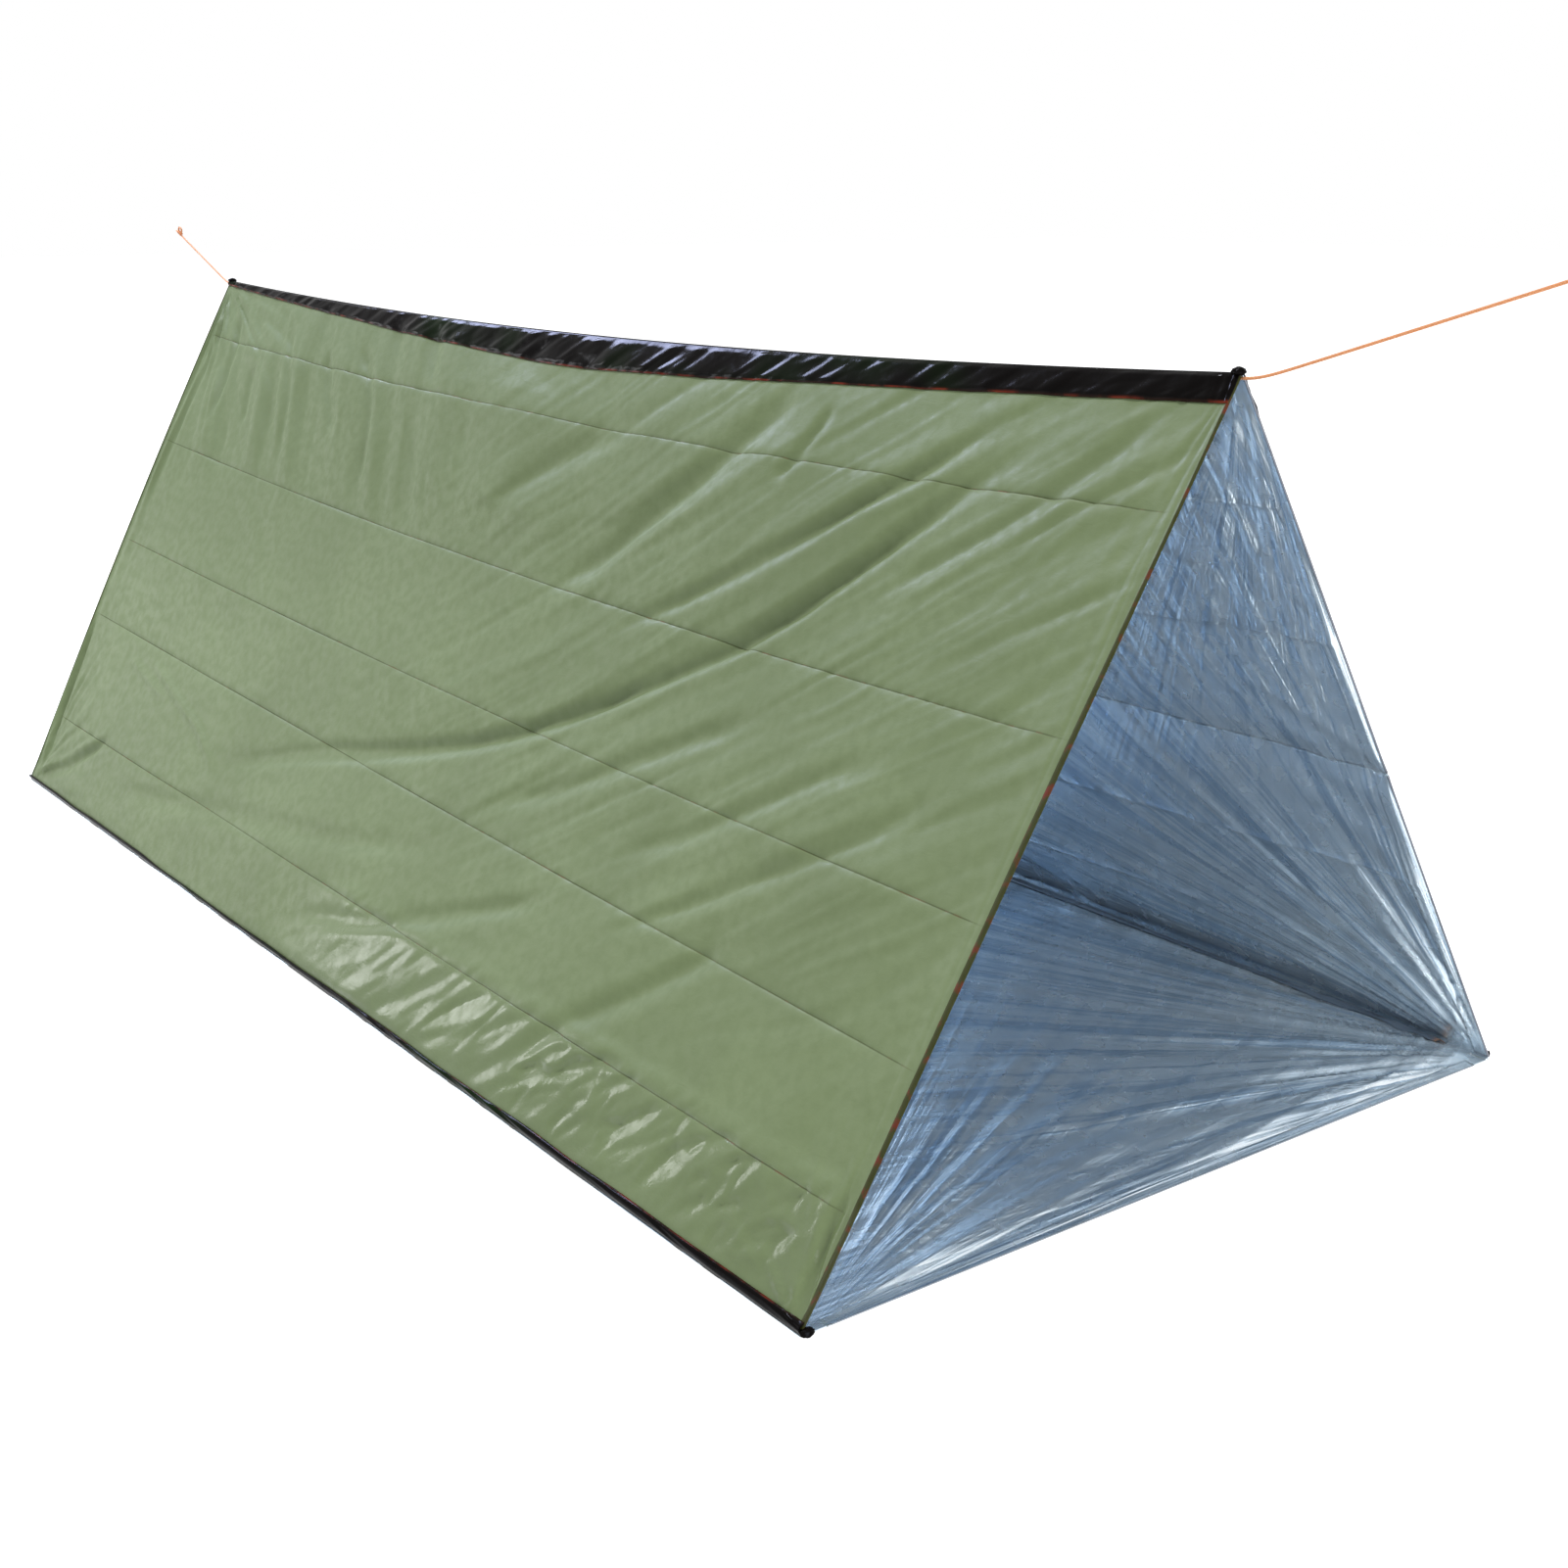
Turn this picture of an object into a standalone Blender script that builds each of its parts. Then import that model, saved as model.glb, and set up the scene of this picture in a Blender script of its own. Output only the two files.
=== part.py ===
"""Emergency tube tent, pitched as a triangle on a taut ridge cord. Metres, +Z up.

The tent is one tube of aluminised film. Pitched, it makes a floor, a left wall and a right wall, and
it folds flat: the left wall lies down on the floor while the right wall swings out and doubles over
at its middle crease. The film is split at those folds, so each flat stretch is a piece of its own.
X runs across the tent, -Y is the front mouth, and the origin is under the middle of the floor.
"""

import math

import bmesh
import bpy
from mathutils import Vector

# The tent as it stands
ridge_length = 2.46
rear_lean = 0.202
floor_width = 1.031
ridge_height = 0.835
ridge_sag = 0.029
rear_edge_bow = 0.02
left_wall_bulge = 0.04
right_wall_bulge = 0.02

# Film, welded strips and hems
film = 0.001
strip = 0.001
gap = 0.0003
seam_gap = 0.0005
ridge_strip_width = 0.08
edge_strip_height = 0.014
edge_strip_lift = 0.001
inner_strip_width = 0.016
inner_strip_inset = 0.01
hem_width = 0.02
wall_hem_start = 0.02
floor_hem_start = 0.03
ridge_hem_stop = 0.045
ridge_strip_setback = 0.0005

# Creases from packing and folds from pitching
crease_depth = 0.004
fold_depth = 0.012
fold_width = 0.06
wrinkle_height = 0.006
edge_fade = 0.05
floor_flat_edge = 0.03
seam_zone = 0.082
row_step = 0.052

# Cord
cord_diameter = 0.003
cord_clearance = 0.0008
knot_twist_radius = 0.002
knot_half_width = 0.0075
knot_loop_height = 0.008
knot_lead = 0.006
knot_tail = 0.012
cord_step = 0.0085

# Mesh counts
wall_columns = 22
floor_rows = 12
knot_twist_steps = 12
knot_loop_steps = 8
tube_resolution = 2
bulge_power = 1.5

# Columns near the mouths, as shares of the length, and the share of a fold's depth left there
mouth_column_shares = (0.024, 0.05)
mouth_fold_share = 0.3

# Creases of the left wall: share of the wall's run from the floor at the front, the same at the rear,
# and the way it is folded, 1 inward and -1 outward
left_crease_shares = (
    (0.117, 0.125, -1),
    (0.264, 0.322, 1),
    (0.415, 0.470, -1),
    (0.609, 0.670, 1),
    (0.850, 0.889, -1),
)

# Creases of each half of the right wall, as shares of that half's run
right_lower_crease_shares = ((0.27, 0.27, -1), (0.64, 0.64, 1))
right_upper_crease_shares = ((0.36, 0.36, 1), (0.69, 0.69, -1))

# Folds: route in shares of the length and of the run, depth share and width share. The first of the
# left wall's sweeps from the front end of the ridge down to the floor near the rear.
left_fold_shares = (
    (
        ((0.040, 0.945), (0.146, 0.803), (0.238, 0.659), (0.329, 0.523), (0.421, 0.424),
         (0.512, 0.341), (0.695, 0.197), (0.817, 0.106)),
        1.0,
        0.75,
    ),
    (((0.262, 0.920), (0.311, 0.833), (0.366, 0.742), (0.470, 0.629)), 0.7, 0.65),
    (((0.380, 0.900), (0.463, 0.818), (0.512, 0.727)), 0.65, 0.7),
    (((0.030, 0.560), (0.100, 0.450), (0.152, 0.273), (0.207, 0.167)), 0.4, 0.6),
    (((0.244, 0.273), (0.360, 0.182), (0.463, 0.129), (0.604, 0.076)), 0.3, 0.6),
    (((0.970, 0.040), (0.939, 0.061), (0.884, 0.129)), 0.6, 0.5),
    (((0.040, 0.120), (0.035, 0.900)), 0.3, 0.5),
)
right_lower_fold_shares = (
    (((0.02, 0.04), (0.14, 0.70)), 0.6, 0.7),
    (((0.03, 0.03), (0.30, 0.42)), 0.6, 0.8),
    (((0.45, 0.20), (0.70, 0.60)), 0.5, 1.0),
)
right_upper_fold_shares = (
    (((0.02, 0.94), (0.10, 0.20)), 0.5, 0.7),
    (((0.03, 0.95), (0.24, 0.35)), 0.5, 0.8),
    (((0.50, 0.80), (0.66, 0.30)), 0.5, 1.0),
)
floor_wrinkle_shares = (
    (((0.01, 0.04), (0.10, 0.42)), 1.0, 0.7),
    (((0.01, 0.96), (0.14, 0.62)), 1.0, 0.7),
    (((0.24, 0.88), (0.62, 0.80)), 0.8, 0.8),
    (((0.30, 0.16), (0.58, 0.24)), 0.8, 0.8),
)

# Width of the ridge strip that lies on the left wall, as shares of the strip, front to rear
near_side_shares = (0.40, 0.41, 0.475, 0.59, 0.61, 0.50, 0.31, 0.17, 0.07)

# Shape of a knot's loop: how far round it starts below its middle, as a share of half a turn, and
# its middle and its radius as shares of its height
loop_start_share = 0.3
loop_middle_share = 0.5
loop_radius_share = 0.62

# Routes of the cord's free stretches: distance out from the mouth and rise above the cord there
front_route = (
    (0.0003, 0.0),
    (0.012, 0.0009),
    (0.026, 0.0034),
    (0.045, 0.0085),
    (0.08, 0.0194),
    (0.17, 0.0481),
    (0.27, 0.0801),
    (0.346, 0.1045),
)
rear_route = (
    (0.0003, 0.0),
    (0.012, 0.0011),
    (0.026, 0.0045),
    (0.045, 0.0109),
    (0.08, 0.024),
    (0.16, 0.054),
    (0.232, 0.081),
)

# Worked out from the sizes above
front_y = -ridge_length / 2
rear_ridge_y = ridge_length / 2
rear_floor_y = rear_ridge_y - rear_lean
floor_length = ridge_length - rear_lean
fold_height = film + gap + film / 2
wall_rise = ridge_height - fold_height
wall_run = math.hypot(floor_width / 2, wall_rise)
rise_share = wall_rise / wall_run
lean_share = floor_width / 2 / wall_run
crease_run = wall_run - floor_width / 2
upper_run = wall_run - crease_run
cord_radius = cord_diameter / 2
cord_drop = (film / 2 + cord_clearance + cord_radius) / lean_share
skin_offset = film / 2 + seam_gap + strip / 2

LEFT = -1
RIGHT = 1


def clear_scene():
    for thing in list(bpy.data.objects):
        bpy.data.objects.remove(thing, do_unlink=True)


def material(name, colour, roughness, metallic):
    made = bpy.data.materials.new(name)
    made.use_nodes = True
    shader = made.node_tree.nodes["Principled BSDF"]
    shader.inputs["Base Color"].default_value = (*colour, 1)
    shader.inputs["Roughness"].default_value = roughness
    shader.inputs["Metallic"].default_value = metallic
    return made


def mix(a, b, t):
    return a + (b - a) * t


def smooth(t):
    t = min(max(t, 0), 1)
    return t * t * (3 - 2 * t)


def up_wall(side):
    """Unit vector up a wall's slope, from its floor fold to the ridge."""
    return Vector((-side * lean_share, 0, rise_share))


def into_tent(side):
    """Unit vector square to a wall, pointing into the tent."""
    return Vector((-side * rise_share, 0, -lean_share))


def fold_line(side, y):
    return Vector((side * floor_width / 2, y, fold_height))


def ridge_line(y):
    """The ridge hangs a little between the mouths."""
    reach = 2 * y / ridge_length
    return Vector((0, y, ridge_height - ridge_sag * (1 - reach * reach)))


def along_tent(u, v):
    """Y of length share u at wall share v. The rear edge leans forward and bows a little."""
    rear = mix(rear_floor_y, rear_ridge_y, v) + rear_edge_bow * 4 * v * (1 - v)
    return mix(front_y, rear, u)


def column_shares():
    """Length shares of a sheet's columns: the hem, some by the mouth, then even ones."""
    hem_share = hem_width / ridge_length
    near = (0, hem_share, *mouth_column_shares)
    last = mouth_column_shares[-1]
    even = [mix(last, 1 - last, i / wall_columns) for i in range(1, wall_columns)]
    return [*near, *even, *(1 - share for share in reversed(near))]


def row_shares(creases, foot, head, run, seam):
    """Each row of a sheet as a pair of shares, at the front and at the rear.

    Rows lie on the creases and divide the stretches between them. foot and head are where the sheet
    starts and stops on its run. seam is how far below the head the ridge strip's row lies, or 0.
    """
    low_strip = edge_strip_height / run
    knots = [(foot, foot), (low_strip, low_strip), *((front, rear) for front, rear, _ in creases)]
    if seam:
        knots.append((1 - seam / run, 1 - seam / run))
    knots.append((head, head))
    rows = [knots[0]]
    for low, high in zip(knots, knots[1:]):
        under_strip = seam and high == knots[-1]
        count = 1 if under_strip else max(round((high[0] - low[0]) * run / row_step), 1)
        for step in range(1, count + 1):
            share = step / count
            rows.append((mix(low[0], high[0], share), mix(low[1], high[1], share)))
    return rows


def zigzag(creases, u, t):
    """Offset share of the packing creases, folded in and out by turns."""
    knots = [(0, 0), *((mix(front, rear, u), way) for front, rear, way in creases), (1, 0)]
    for (low, low_way), (high, high_way) in zip(knots, knots[1:]):
        if t <= high:
            return mix(low_way, high_way, (t - low) / (high - low))
    return 0


def place_on_route(route, here, length, run):
    """How far a place lies from a fold's route, and the share of the route passed there."""
    points = [Vector((u * length, t * run)) for u, t in route]
    legs = [after - before for before, after in zip(points, points[1:])]
    nearest, passed, done = math.inf, 0, 0
    for start, leg in zip(points, legs):
        place = min(max((here - start).dot(leg) / leg.length_squared, 0), 1)
        away = (here - start - leg * place).length
        if away < nearest:
            nearest, passed = away, done + leg.length * place
        done += leg.length
    return nearest, passed / done


def fold_share(folds, u, t, length, run):
    """Sum of the folds at one place. Each is a soft ridge along its route that fades at its ends."""
    total = 0
    here = Vector((u * length, t * run))
    for route, depth_share, width_share in folds:
        nearest, place = place_on_route(route, here, length, run)
        away = nearest / (fold_width * width_share)
        ends = smooth(4 * place + 0.25) * smooth(4 * (1 - place) + 0.25)
        total += depth_share * math.exp(-away * away) * ends
    return total


def wall_fade(u, t, run, seam):
    """Share of a wall's folds: 0 along its edges and under its strips, a little at the mouths."""
    across = min(t * run - edge_strip_height, (1 - t) * run - seam) / edge_fade
    along = min(u, 1 - u) * ridge_length / edge_fade
    return smooth(across) * smooth(along + mouth_fold_share)


def floor_fade(u, t):
    """Share of the floor's wrinkles: 0 along its edges, where the hems and the inner strips lie."""
    across = (min(t, 1 - t) * floor_width - floor_flat_edge) / edge_fade
    along = (min(u, 1 - u) * floor_length - floor_flat_edge) / edge_fade
    return smooth(across) * smooth(along)


def wall_offset(u, t, run, seam, bulge, creases, folds):
    """How far a wall's film lies into the tent from its flat plane."""
    belly = bulge * math.sin(math.pi * t) ** bulge_power * math.sin(math.pi * u)
    packed = crease_depth * zigzag(creases, u, t)
    draped = fold_depth * fold_share(folds, u, t, ridge_length, run)
    return belly + packed + draped * wall_fade(u, t, run, seam)


def left_wall_grid():
    """Corners of the left wall, as rows of columns, with the share of the run of each."""
    foot = gap / wall_run
    head = 1 - (film / 2 * rise_share + gap / 2) / lean_share / wall_run
    rows = row_shares(left_crease_shares, foot, head, wall_run, seam_zone)
    grid = []
    for front, rear in rows:
        line = []
        for u in column_shares():
            v = mix(front, rear, u)
            y = along_tent(u, v)
            place = fold_line(LEFT, y).lerp(ridge_line(y), v)
            creases, folds = left_crease_shares, left_fold_shares
            off = wall_offset(u, v, wall_run, seam_zone, left_wall_bulge, creases, folds)
            line.append((v, place + into_tent(LEFT) * off))
        grid.append(line)
    return grid


def right_lower_grid():
    """Corners of the right wall below its middle crease."""
    foot = gap / crease_run
    head = 1 - gap / crease_run
    grid = []
    for front, rear in row_shares(right_lower_crease_shares, foot, head, crease_run, 0):
        line = []
        for u in column_shares():
            t = mix(front, rear, u)
            y = along_tent(u, t * crease_run / wall_run)
            place = fold_line(RIGHT, y) + up_wall(RIGHT) * crease_run * t
            creases, folds = right_lower_crease_shares, right_lower_fold_shares
            off = wall_offset(u, t, crease_run, 0, right_wall_bulge, creases, folds)
            line.append((t, place + into_tent(RIGHT) * off))
        grid.append(line)
    return grid


def right_upper_grid():
    """Corners of the right wall above its middle crease, which stays straight under a sagging ridge."""
    foot = gap / upper_run
    head = 1 - (film / 2 * rise_share + gap / 2) / lean_share / upper_run
    rows = row_shares(right_upper_crease_shares, foot, head, upper_run, seam_zone)
    grid = []
    for front, rear in rows:
        line = []
        for u in column_shares():
            t = mix(front, rear, u)
            y = along_tent(u, (crease_run + t * upper_run) / wall_run)
            crease = fold_line(RIGHT, y) + up_wall(RIGHT) * crease_run
            creases, folds = right_upper_crease_shares, right_upper_fold_shares
            off = wall_offset(u, t, upper_run, seam_zone, right_wall_bulge, creases, folds)
            line.append((t, crease.lerp(ridge_line(y), t) + into_tent(RIGHT) * off))
        grid.append(line)
    return grid


def edge_strip_foot():
    """Run at which the left edge strip's lower corner nearly meets the ground, below the fold line."""
    inner_face = skin_offset - strip / 2
    return (gap - fold_height - inner_face * lean_share) / rise_share


def floor_lip():
    """How far the floor reaches past the left fold line, up to the inside of the edge strip."""
    inner_face = skin_offset - strip / 2
    run = (film - fold_height - inner_face * lean_share) / rise_share
    return inner_face * rise_share - run * lean_share - gap / rise_share


def floor_grid():
    """Corners of the floor, which lies flat but for a few raised wrinkles."""
    low_x = -floor_width / 2 - floor_lip()
    high_x = floor_width / 2
    flat = floor_flat_edge / floor_width
    even = [mix(flat, 1 - flat, row / floor_rows) for row in range(floor_rows + 1)]
    grid = []
    for t in (0, *even, 1):
        line = []
        for u in column_shares():
            y = mix(front_y, rear_floor_y, u)
            raised = fold_share(floor_wrinkle_shares, u, t, floor_length, floor_width)
            lift = wrinkle_height * raised * floor_fade(u, t)
            line.append((t, Vector((mix(low_x, high_x, t), y, film / 2 + lift))))
        grid.append(line)
    return grid


def on_grid(grid, column, t):
    """The point of a sheet's column at run share t, on its facets or on their plane just past them."""
    rows = [line[column] for line in grid]
    number = 0
    while number < len(rows) - 2 and rows[number + 1][0] < t:
        number += 1
    (low, a), (high, b) = rows[number], rows[number + 1]
    return a + (b - a) * ((t - low) / (high - low))


def rows_between(grid, column, start, stop):
    """Points of one column from run share start to stop, with the sheet's own rows between them."""
    inside = [line[column] for line in grid if start < grid_share(line) < stop]
    points = [point for _, point in inside]
    return [on_grid(grid, column, start), *points, on_grid(grid, column, stop)]


def grid_share(line):
    """The run share by which a row is picked: its share at the front mouth."""
    return line[0][0]


def sheet(name, rows, thickness, finish, parent, offset=None):
    """A thin closed sheet through rows of points, as a grid with an even thickness."""
    shift = offset or Vector((0, 0, 0))
    down, across = len(rows) - 1, len(rows[0]) - 1
    mesh = bpy.data.meshes.new(name)
    cage = bmesh.new()
    bmesh.ops.create_grid(cage, x_segments=across, y_segments=down, size=1)
    for vert in cage.verts:
        column = round((vert.co.x + 1) / 2 * across)
        row = round((vert.co.y + 1) / 2 * down)
        vert.co = rows[row][column] + shift - parent.matrix_world.translation
    cage.to_mesh(mesh)
    cage.free()
    mesh.shade_smooth()
    made = bpy.data.objects.new(name, mesh)
    solid = made.modifiers.new("thickness", "SOLIDIFY")
    solid.thickness = thickness
    solid.offset = 0
    return add(made, finish, parent)


def add(made, finish, parent):
    made.data.materials.append(finish)
    made.parent = parent
    tent.objects.link(made)
    return made


def axis_empty(name, place, parent):
    """An empty on a joint's axis, which carries the pieces that turn about it."""
    made = bpy.data.objects.new(name, None)
    made.parent = parent
    made.location = place - (parent.matrix_world.translation if parent else Vector((0, 0, 0)))
    tent.objects.link(made)
    bpy.context.view_layer.update()
    return made


def mouth_hem(name, grid, at_front, start, stop, finish, parent, offset):
    """The film's edge at a mouth, turned in and welded as a narrow second layer."""
    pair = (0, 1) if at_front else (-2, -1)
    columns = [rows_between(grid, column, start, stop) for column in pair]
    sheet(name, [list(points) for points in zip(*columns)], strip, finish, parent, offset)


def wall_hems(name, grid, run, start, stop, parent, side):
    finish = green if side == LEFT else silver
    inward = into_tent(side) * skin_offset
    for at_front in (True, False):
        end = "front" if at_front else "rear"
        low, high = start / run, 1 - stop / run
        mouth_hem(f"{end}_hem_{name}", grid, at_front, low, high, finish, parent, inward)


def near_side_width(u):
    """Width of the ridge strip on the left wall at length share u."""
    place = u * (len(near_side_shares) - 1)
    number = min(int(place), len(near_side_shares) - 2)
    share = mix(near_side_shares[number], near_side_shares[number + 1], place - number)
    return ridge_strip_width * share


def ridge_strip(name, grid, run, side, parent):
    """One half of the black strip that is welded over the ridge."""
    head = 1 - ridge_strip_setback / run
    rows = [[], []]
    for column, u in enumerate(column_shares()):
        width = near_side_width(u)
        if side == RIGHT:
            width = ridge_strip_width - width
        rows[0].append(on_grid(grid, column, 1 - width / run))
        rows[1].append(on_grid(grid, column, head))
    sheet(name, rows, strip, black, parent, into_tent(side) * -skin_offset)


def edge_strip(name, grid, run, start, side, parent):
    """The black strip along a floor fold, outside the wall."""
    columns = range(len(column_shares()))
    rows = [
        [on_grid(grid, column, reach / run) for column in columns]
        for reach in (start, edge_strip_height)
    ]
    sheet(name, rows, strip, black, parent, into_tent(side) * -skin_offset)


def inner_strip(name, grid, near, far, parent):
    """The black strip along a floor fold, inside on the floor. near and far are X values."""
    low_x, high_x = grid[0][0][1].x, grid[-1][0][1].x
    columns = range(len(column_shares()))
    rows = [
        [on_grid(grid, column, (x - low_x) / (high_x - low_x)) for column in columns]
        for x in (near, far)
    ]
    sheet(name, rows, strip, black, parent, Vector((0, 0, skin_offset)))


def curve_through(route, step):
    """Evenly spaced points on a smooth curve through a route's points."""
    knots = [2 * route[0] - route[1], *route, 2 * route[-1] - route[-2]]
    points = []
    for a, b, c, d in zip(knots, knots[1:], knots[2:], knots[3:]):
        count = max(round((c - b).length / step), 1)
        for number in range(count):
            t = number / count
            bend = 2 * b + (c - a) * t + (2 * a - 5 * b + 4 * c - d) * t**2
            points.append((bend + (3 * b - a - 3 * c + d) * t**3) / 2)
    return [*points, knots[-2]]


def tube(name, points, parent):
    """A round cord through the points, closed at both ends."""
    data = bpy.data.curves.new(name, "CURVE")
    data.dimensions = "3D"
    data.bevel_depth = cord_radius
    data.bevel_resolution = tube_resolution
    data.use_fill_caps = True
    line = data.splines.new("POLY")
    line.points.add(len(points) - 1)
    for made, point in zip(line.points, points):
        made.co = (*(point - parent.matrix_world.translation), 1)
    line.use_smooth = True
    return add(bpy.data.objects.new(name, data), orange, parent)


def knot_points(start, onward):
    """An overhand knot on a cord that arrives at start along the unit vector onward.

    Two stretches are wound round each other one and a half turns, and a loop over them joins the
    first one's end to the second one's start.
    """
    across = Vector((1, 0, 0))
    above = across.cross(onward)
    middle = start + onward * (knot_lead + knot_half_width) + above * knot_twist_radius

    def place(along, up, out):
        return middle + onward * along + above * up + across * out

    def wound(first_angle):
        turned = []
        for step in range(knot_twist_steps + 1):
            share = step / knot_twist_steps
            angle = first_angle + 3 * math.pi * share
            up, out = knot_twist_radius * math.cos(angle), knot_twist_radius * math.sin(angle)
            turned.append(place(mix(-knot_half_width, knot_half_width, share), up, out))
        return turned

    loop = []
    for step in range(1, knot_loop_steps):
        angle = math.pi * mix(-loop_start_share, 1 + loop_start_share, step / knot_loop_steps)
        rise = knot_loop_height * (loop_middle_share + loop_radius_share * math.sin(angle))
        loop.append(place(knot_half_width * math.cos(angle), knot_twist_radius + rise, 0))
    last = place(knot_half_width + knot_tail, -knot_twist_radius, 0)
    return [start, *wound(math.pi), *loop, *wound(0), last]


def least_gap(points):
    """The least distance between the surfaces of a cord's stretches that pass each other."""
    least = math.inf
    reach = 4 * cord_diameter
    travelled = [0]
    for a, b in zip(points, points[1:]):
        travelled.append(travelled[-1] + (b - a).length)
    for i, a in enumerate(points):
        for j in range(i + 1, len(points)):
            if travelled[j] - travelled[i] > reach:
                least = min(least, (points[j] - a).length - cord_diameter)
    return least


def cord_in_ridge(parent):
    """The cord's stretch inside the tube, nested under the ridge and sagging with it."""
    points = [ridge_line(mix(front_y, rear_ridge_y, u)) for u in column_shares()]
    tube("ridge_cord", [point - Vector((0, 0, cord_drop)) for point in points], parent)


def free_cord(end, mouth_y, way, route, parent):
    """One free stretch of the cord, with the knot at its end. way is the Y sense of outward."""
    start = Vector((0, mouth_y, ridge_height - cord_drop))
    points = curve_through([start + Vector((0, way * out, up)) for out, up in route], cord_step)
    tube(f"{end}_guy_cord", points, parent)
    onward = (points[-1] - points[-2]).normalized()
    knot = curve_through(knot_points(points[-1] + onward * gap, onward), cord_diameter)
    print(f"{end} knot, least gap between its turns: {least_gap(knot) * 1000:.2f} mm")
    tube(f"{end}_cord_knot", knot, parent)


def floor_parts(root, grid, left_grid):
    low_x, high_x = grid[0][0][1].x, grid[-1][0][1].x
    half = floor_width / 2
    near, far = half - inner_strip_inset, half - inner_strip_inset - inner_strip_width
    sheet("floor_panel", [[p for _, p in line] for line in grid], film, silver, root)
    edge_strip("left_edge_strip", left_grid, wall_run, edge_strip_foot(), LEFT, root)
    inner_strip("left_inner_strip", grid, -near, -far, root)
    inner_strip("right_inner_strip", grid, far, near, root)
    start = (floor_hem_start - half - low_x) / (high_x - low_x)
    stop = (half - floor_hem_start - low_x) / (high_x - low_x)
    for at_front in (True, False):
        end = "front" if at_front else "rear"
        lift = Vector((0, 0, skin_offset))
        mouth_hem(f"{end}_hem_floor", grid, at_front, start, stop, silver, root, lift)


def left_wall_parts(root, grid):
    axis = axis_empty("left_wall_fold", fold_line(LEFT, 0), root)
    sheet("left_wall", [[p for _, p in line] for line in grid], film, green, axis)
    ridge_strip("left_ridge_strip", grid, wall_run, LEFT, axis)
    wall_hems("left_wall", grid, wall_run, wall_hem_start, ridge_hem_stop, axis, LEFT)
    cord_in_ridge(axis)
    free_cord("front", front_y, -1, front_route, axis)
    free_cord("rear", rear_ridge_y, 1, rear_route, axis)


def right_wall_parts(root):
    lower, upper = right_lower_grid(), right_upper_grid()
    fold = axis_empty("right_wall_fold", fold_line(RIGHT, 0), root)
    crease_place = fold_line(RIGHT, 0) + up_wall(RIGHT) * crease_run
    inner_face = into_tent(RIGHT) * (film / 2 + gap / 2)
    crease = axis_empty("right_wall_crease", crease_place + inner_face, fold)
    sheet("right_wall_lower", [[p for _, p in line] for line in lower], film, green, fold)
    edge_strip("right_edge_strip", lower, crease_run, edge_strip_lift, RIGHT, fold)
    wall_hems("right_wall_lower", lower, crease_run, wall_hem_start, wall_hem_start, fold, RIGHT)
    sheet("right_wall_upper", [[p for _, p in line] for line in upper], film, green, crease)
    ridge_strip("right_ridge_strip", upper, upper_run, RIGHT, crease)
    wall_hems("right_wall_upper", upper, upper_run, wall_hem_start, ridge_hem_stop, crease, RIGHT)


clear_scene()
tent = bpy.data.collections.new("emergency_tube_tent")
bpy.context.scene.collection.children.link(tent)
green = material("green_film", (0.25, 0.33, 0.19), 0.4, 0)
silver = material("silver_film", (0.62, 0.66, 0.7), 0.25, 0)
black = material("black_strip", (0.012, 0.012, 0.014), 0.25, 0)
orange = material("orange_cord", (0.75, 0.26, 0.08), 0.7, 0)
ground = axis_empty("tube_tent", Vector((0, 0, 0)), None)
left_grid = left_wall_grid()
floor_parts(ground, floor_grid(), left_grid)
left_wall_parts(ground, left_grid)
right_wall_parts(ground)
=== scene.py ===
"""Looks of the emergency tube tent: wrinkled film, welded black strips and a taut braided cord.

Metres, in the frame of the solids: X across the tent, -Y the front mouth, +Z up. On a wall, u is the
share of the length from the front mouth and s is the run up the slope from the floor fold.
"""

import math

import bmesh
import bpy
import numpy as np
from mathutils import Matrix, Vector


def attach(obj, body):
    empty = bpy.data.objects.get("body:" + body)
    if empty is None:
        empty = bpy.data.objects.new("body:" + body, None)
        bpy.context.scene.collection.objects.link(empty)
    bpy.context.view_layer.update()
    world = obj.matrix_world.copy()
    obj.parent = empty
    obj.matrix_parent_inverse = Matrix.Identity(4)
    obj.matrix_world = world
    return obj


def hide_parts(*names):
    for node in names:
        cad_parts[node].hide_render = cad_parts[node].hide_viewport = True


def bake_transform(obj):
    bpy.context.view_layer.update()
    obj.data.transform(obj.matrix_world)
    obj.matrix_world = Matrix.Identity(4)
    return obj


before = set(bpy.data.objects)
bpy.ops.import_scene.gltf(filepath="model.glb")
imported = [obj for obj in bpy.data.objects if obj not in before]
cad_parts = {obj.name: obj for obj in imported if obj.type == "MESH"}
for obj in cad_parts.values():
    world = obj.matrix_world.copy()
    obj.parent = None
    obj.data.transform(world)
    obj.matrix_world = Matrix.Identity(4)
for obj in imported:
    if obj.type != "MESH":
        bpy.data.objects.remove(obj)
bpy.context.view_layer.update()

# Sizes of the solids
ridge_length = 2.46
rear_lean = 0.202
floor_width = 1.031
ridge_height = 0.835
ridge_sag = 0.029
rear_edge_bow = 0.02
left_wall_bulge = 0.04
right_wall_bulge = 0.02
bulge_power = 1.5
fold_height = 0.0018
ridge_strip_width = 0.08
cord_diameter = 0.003
cord_drop = 0.0053
mouth_gap = 0.0003

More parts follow.
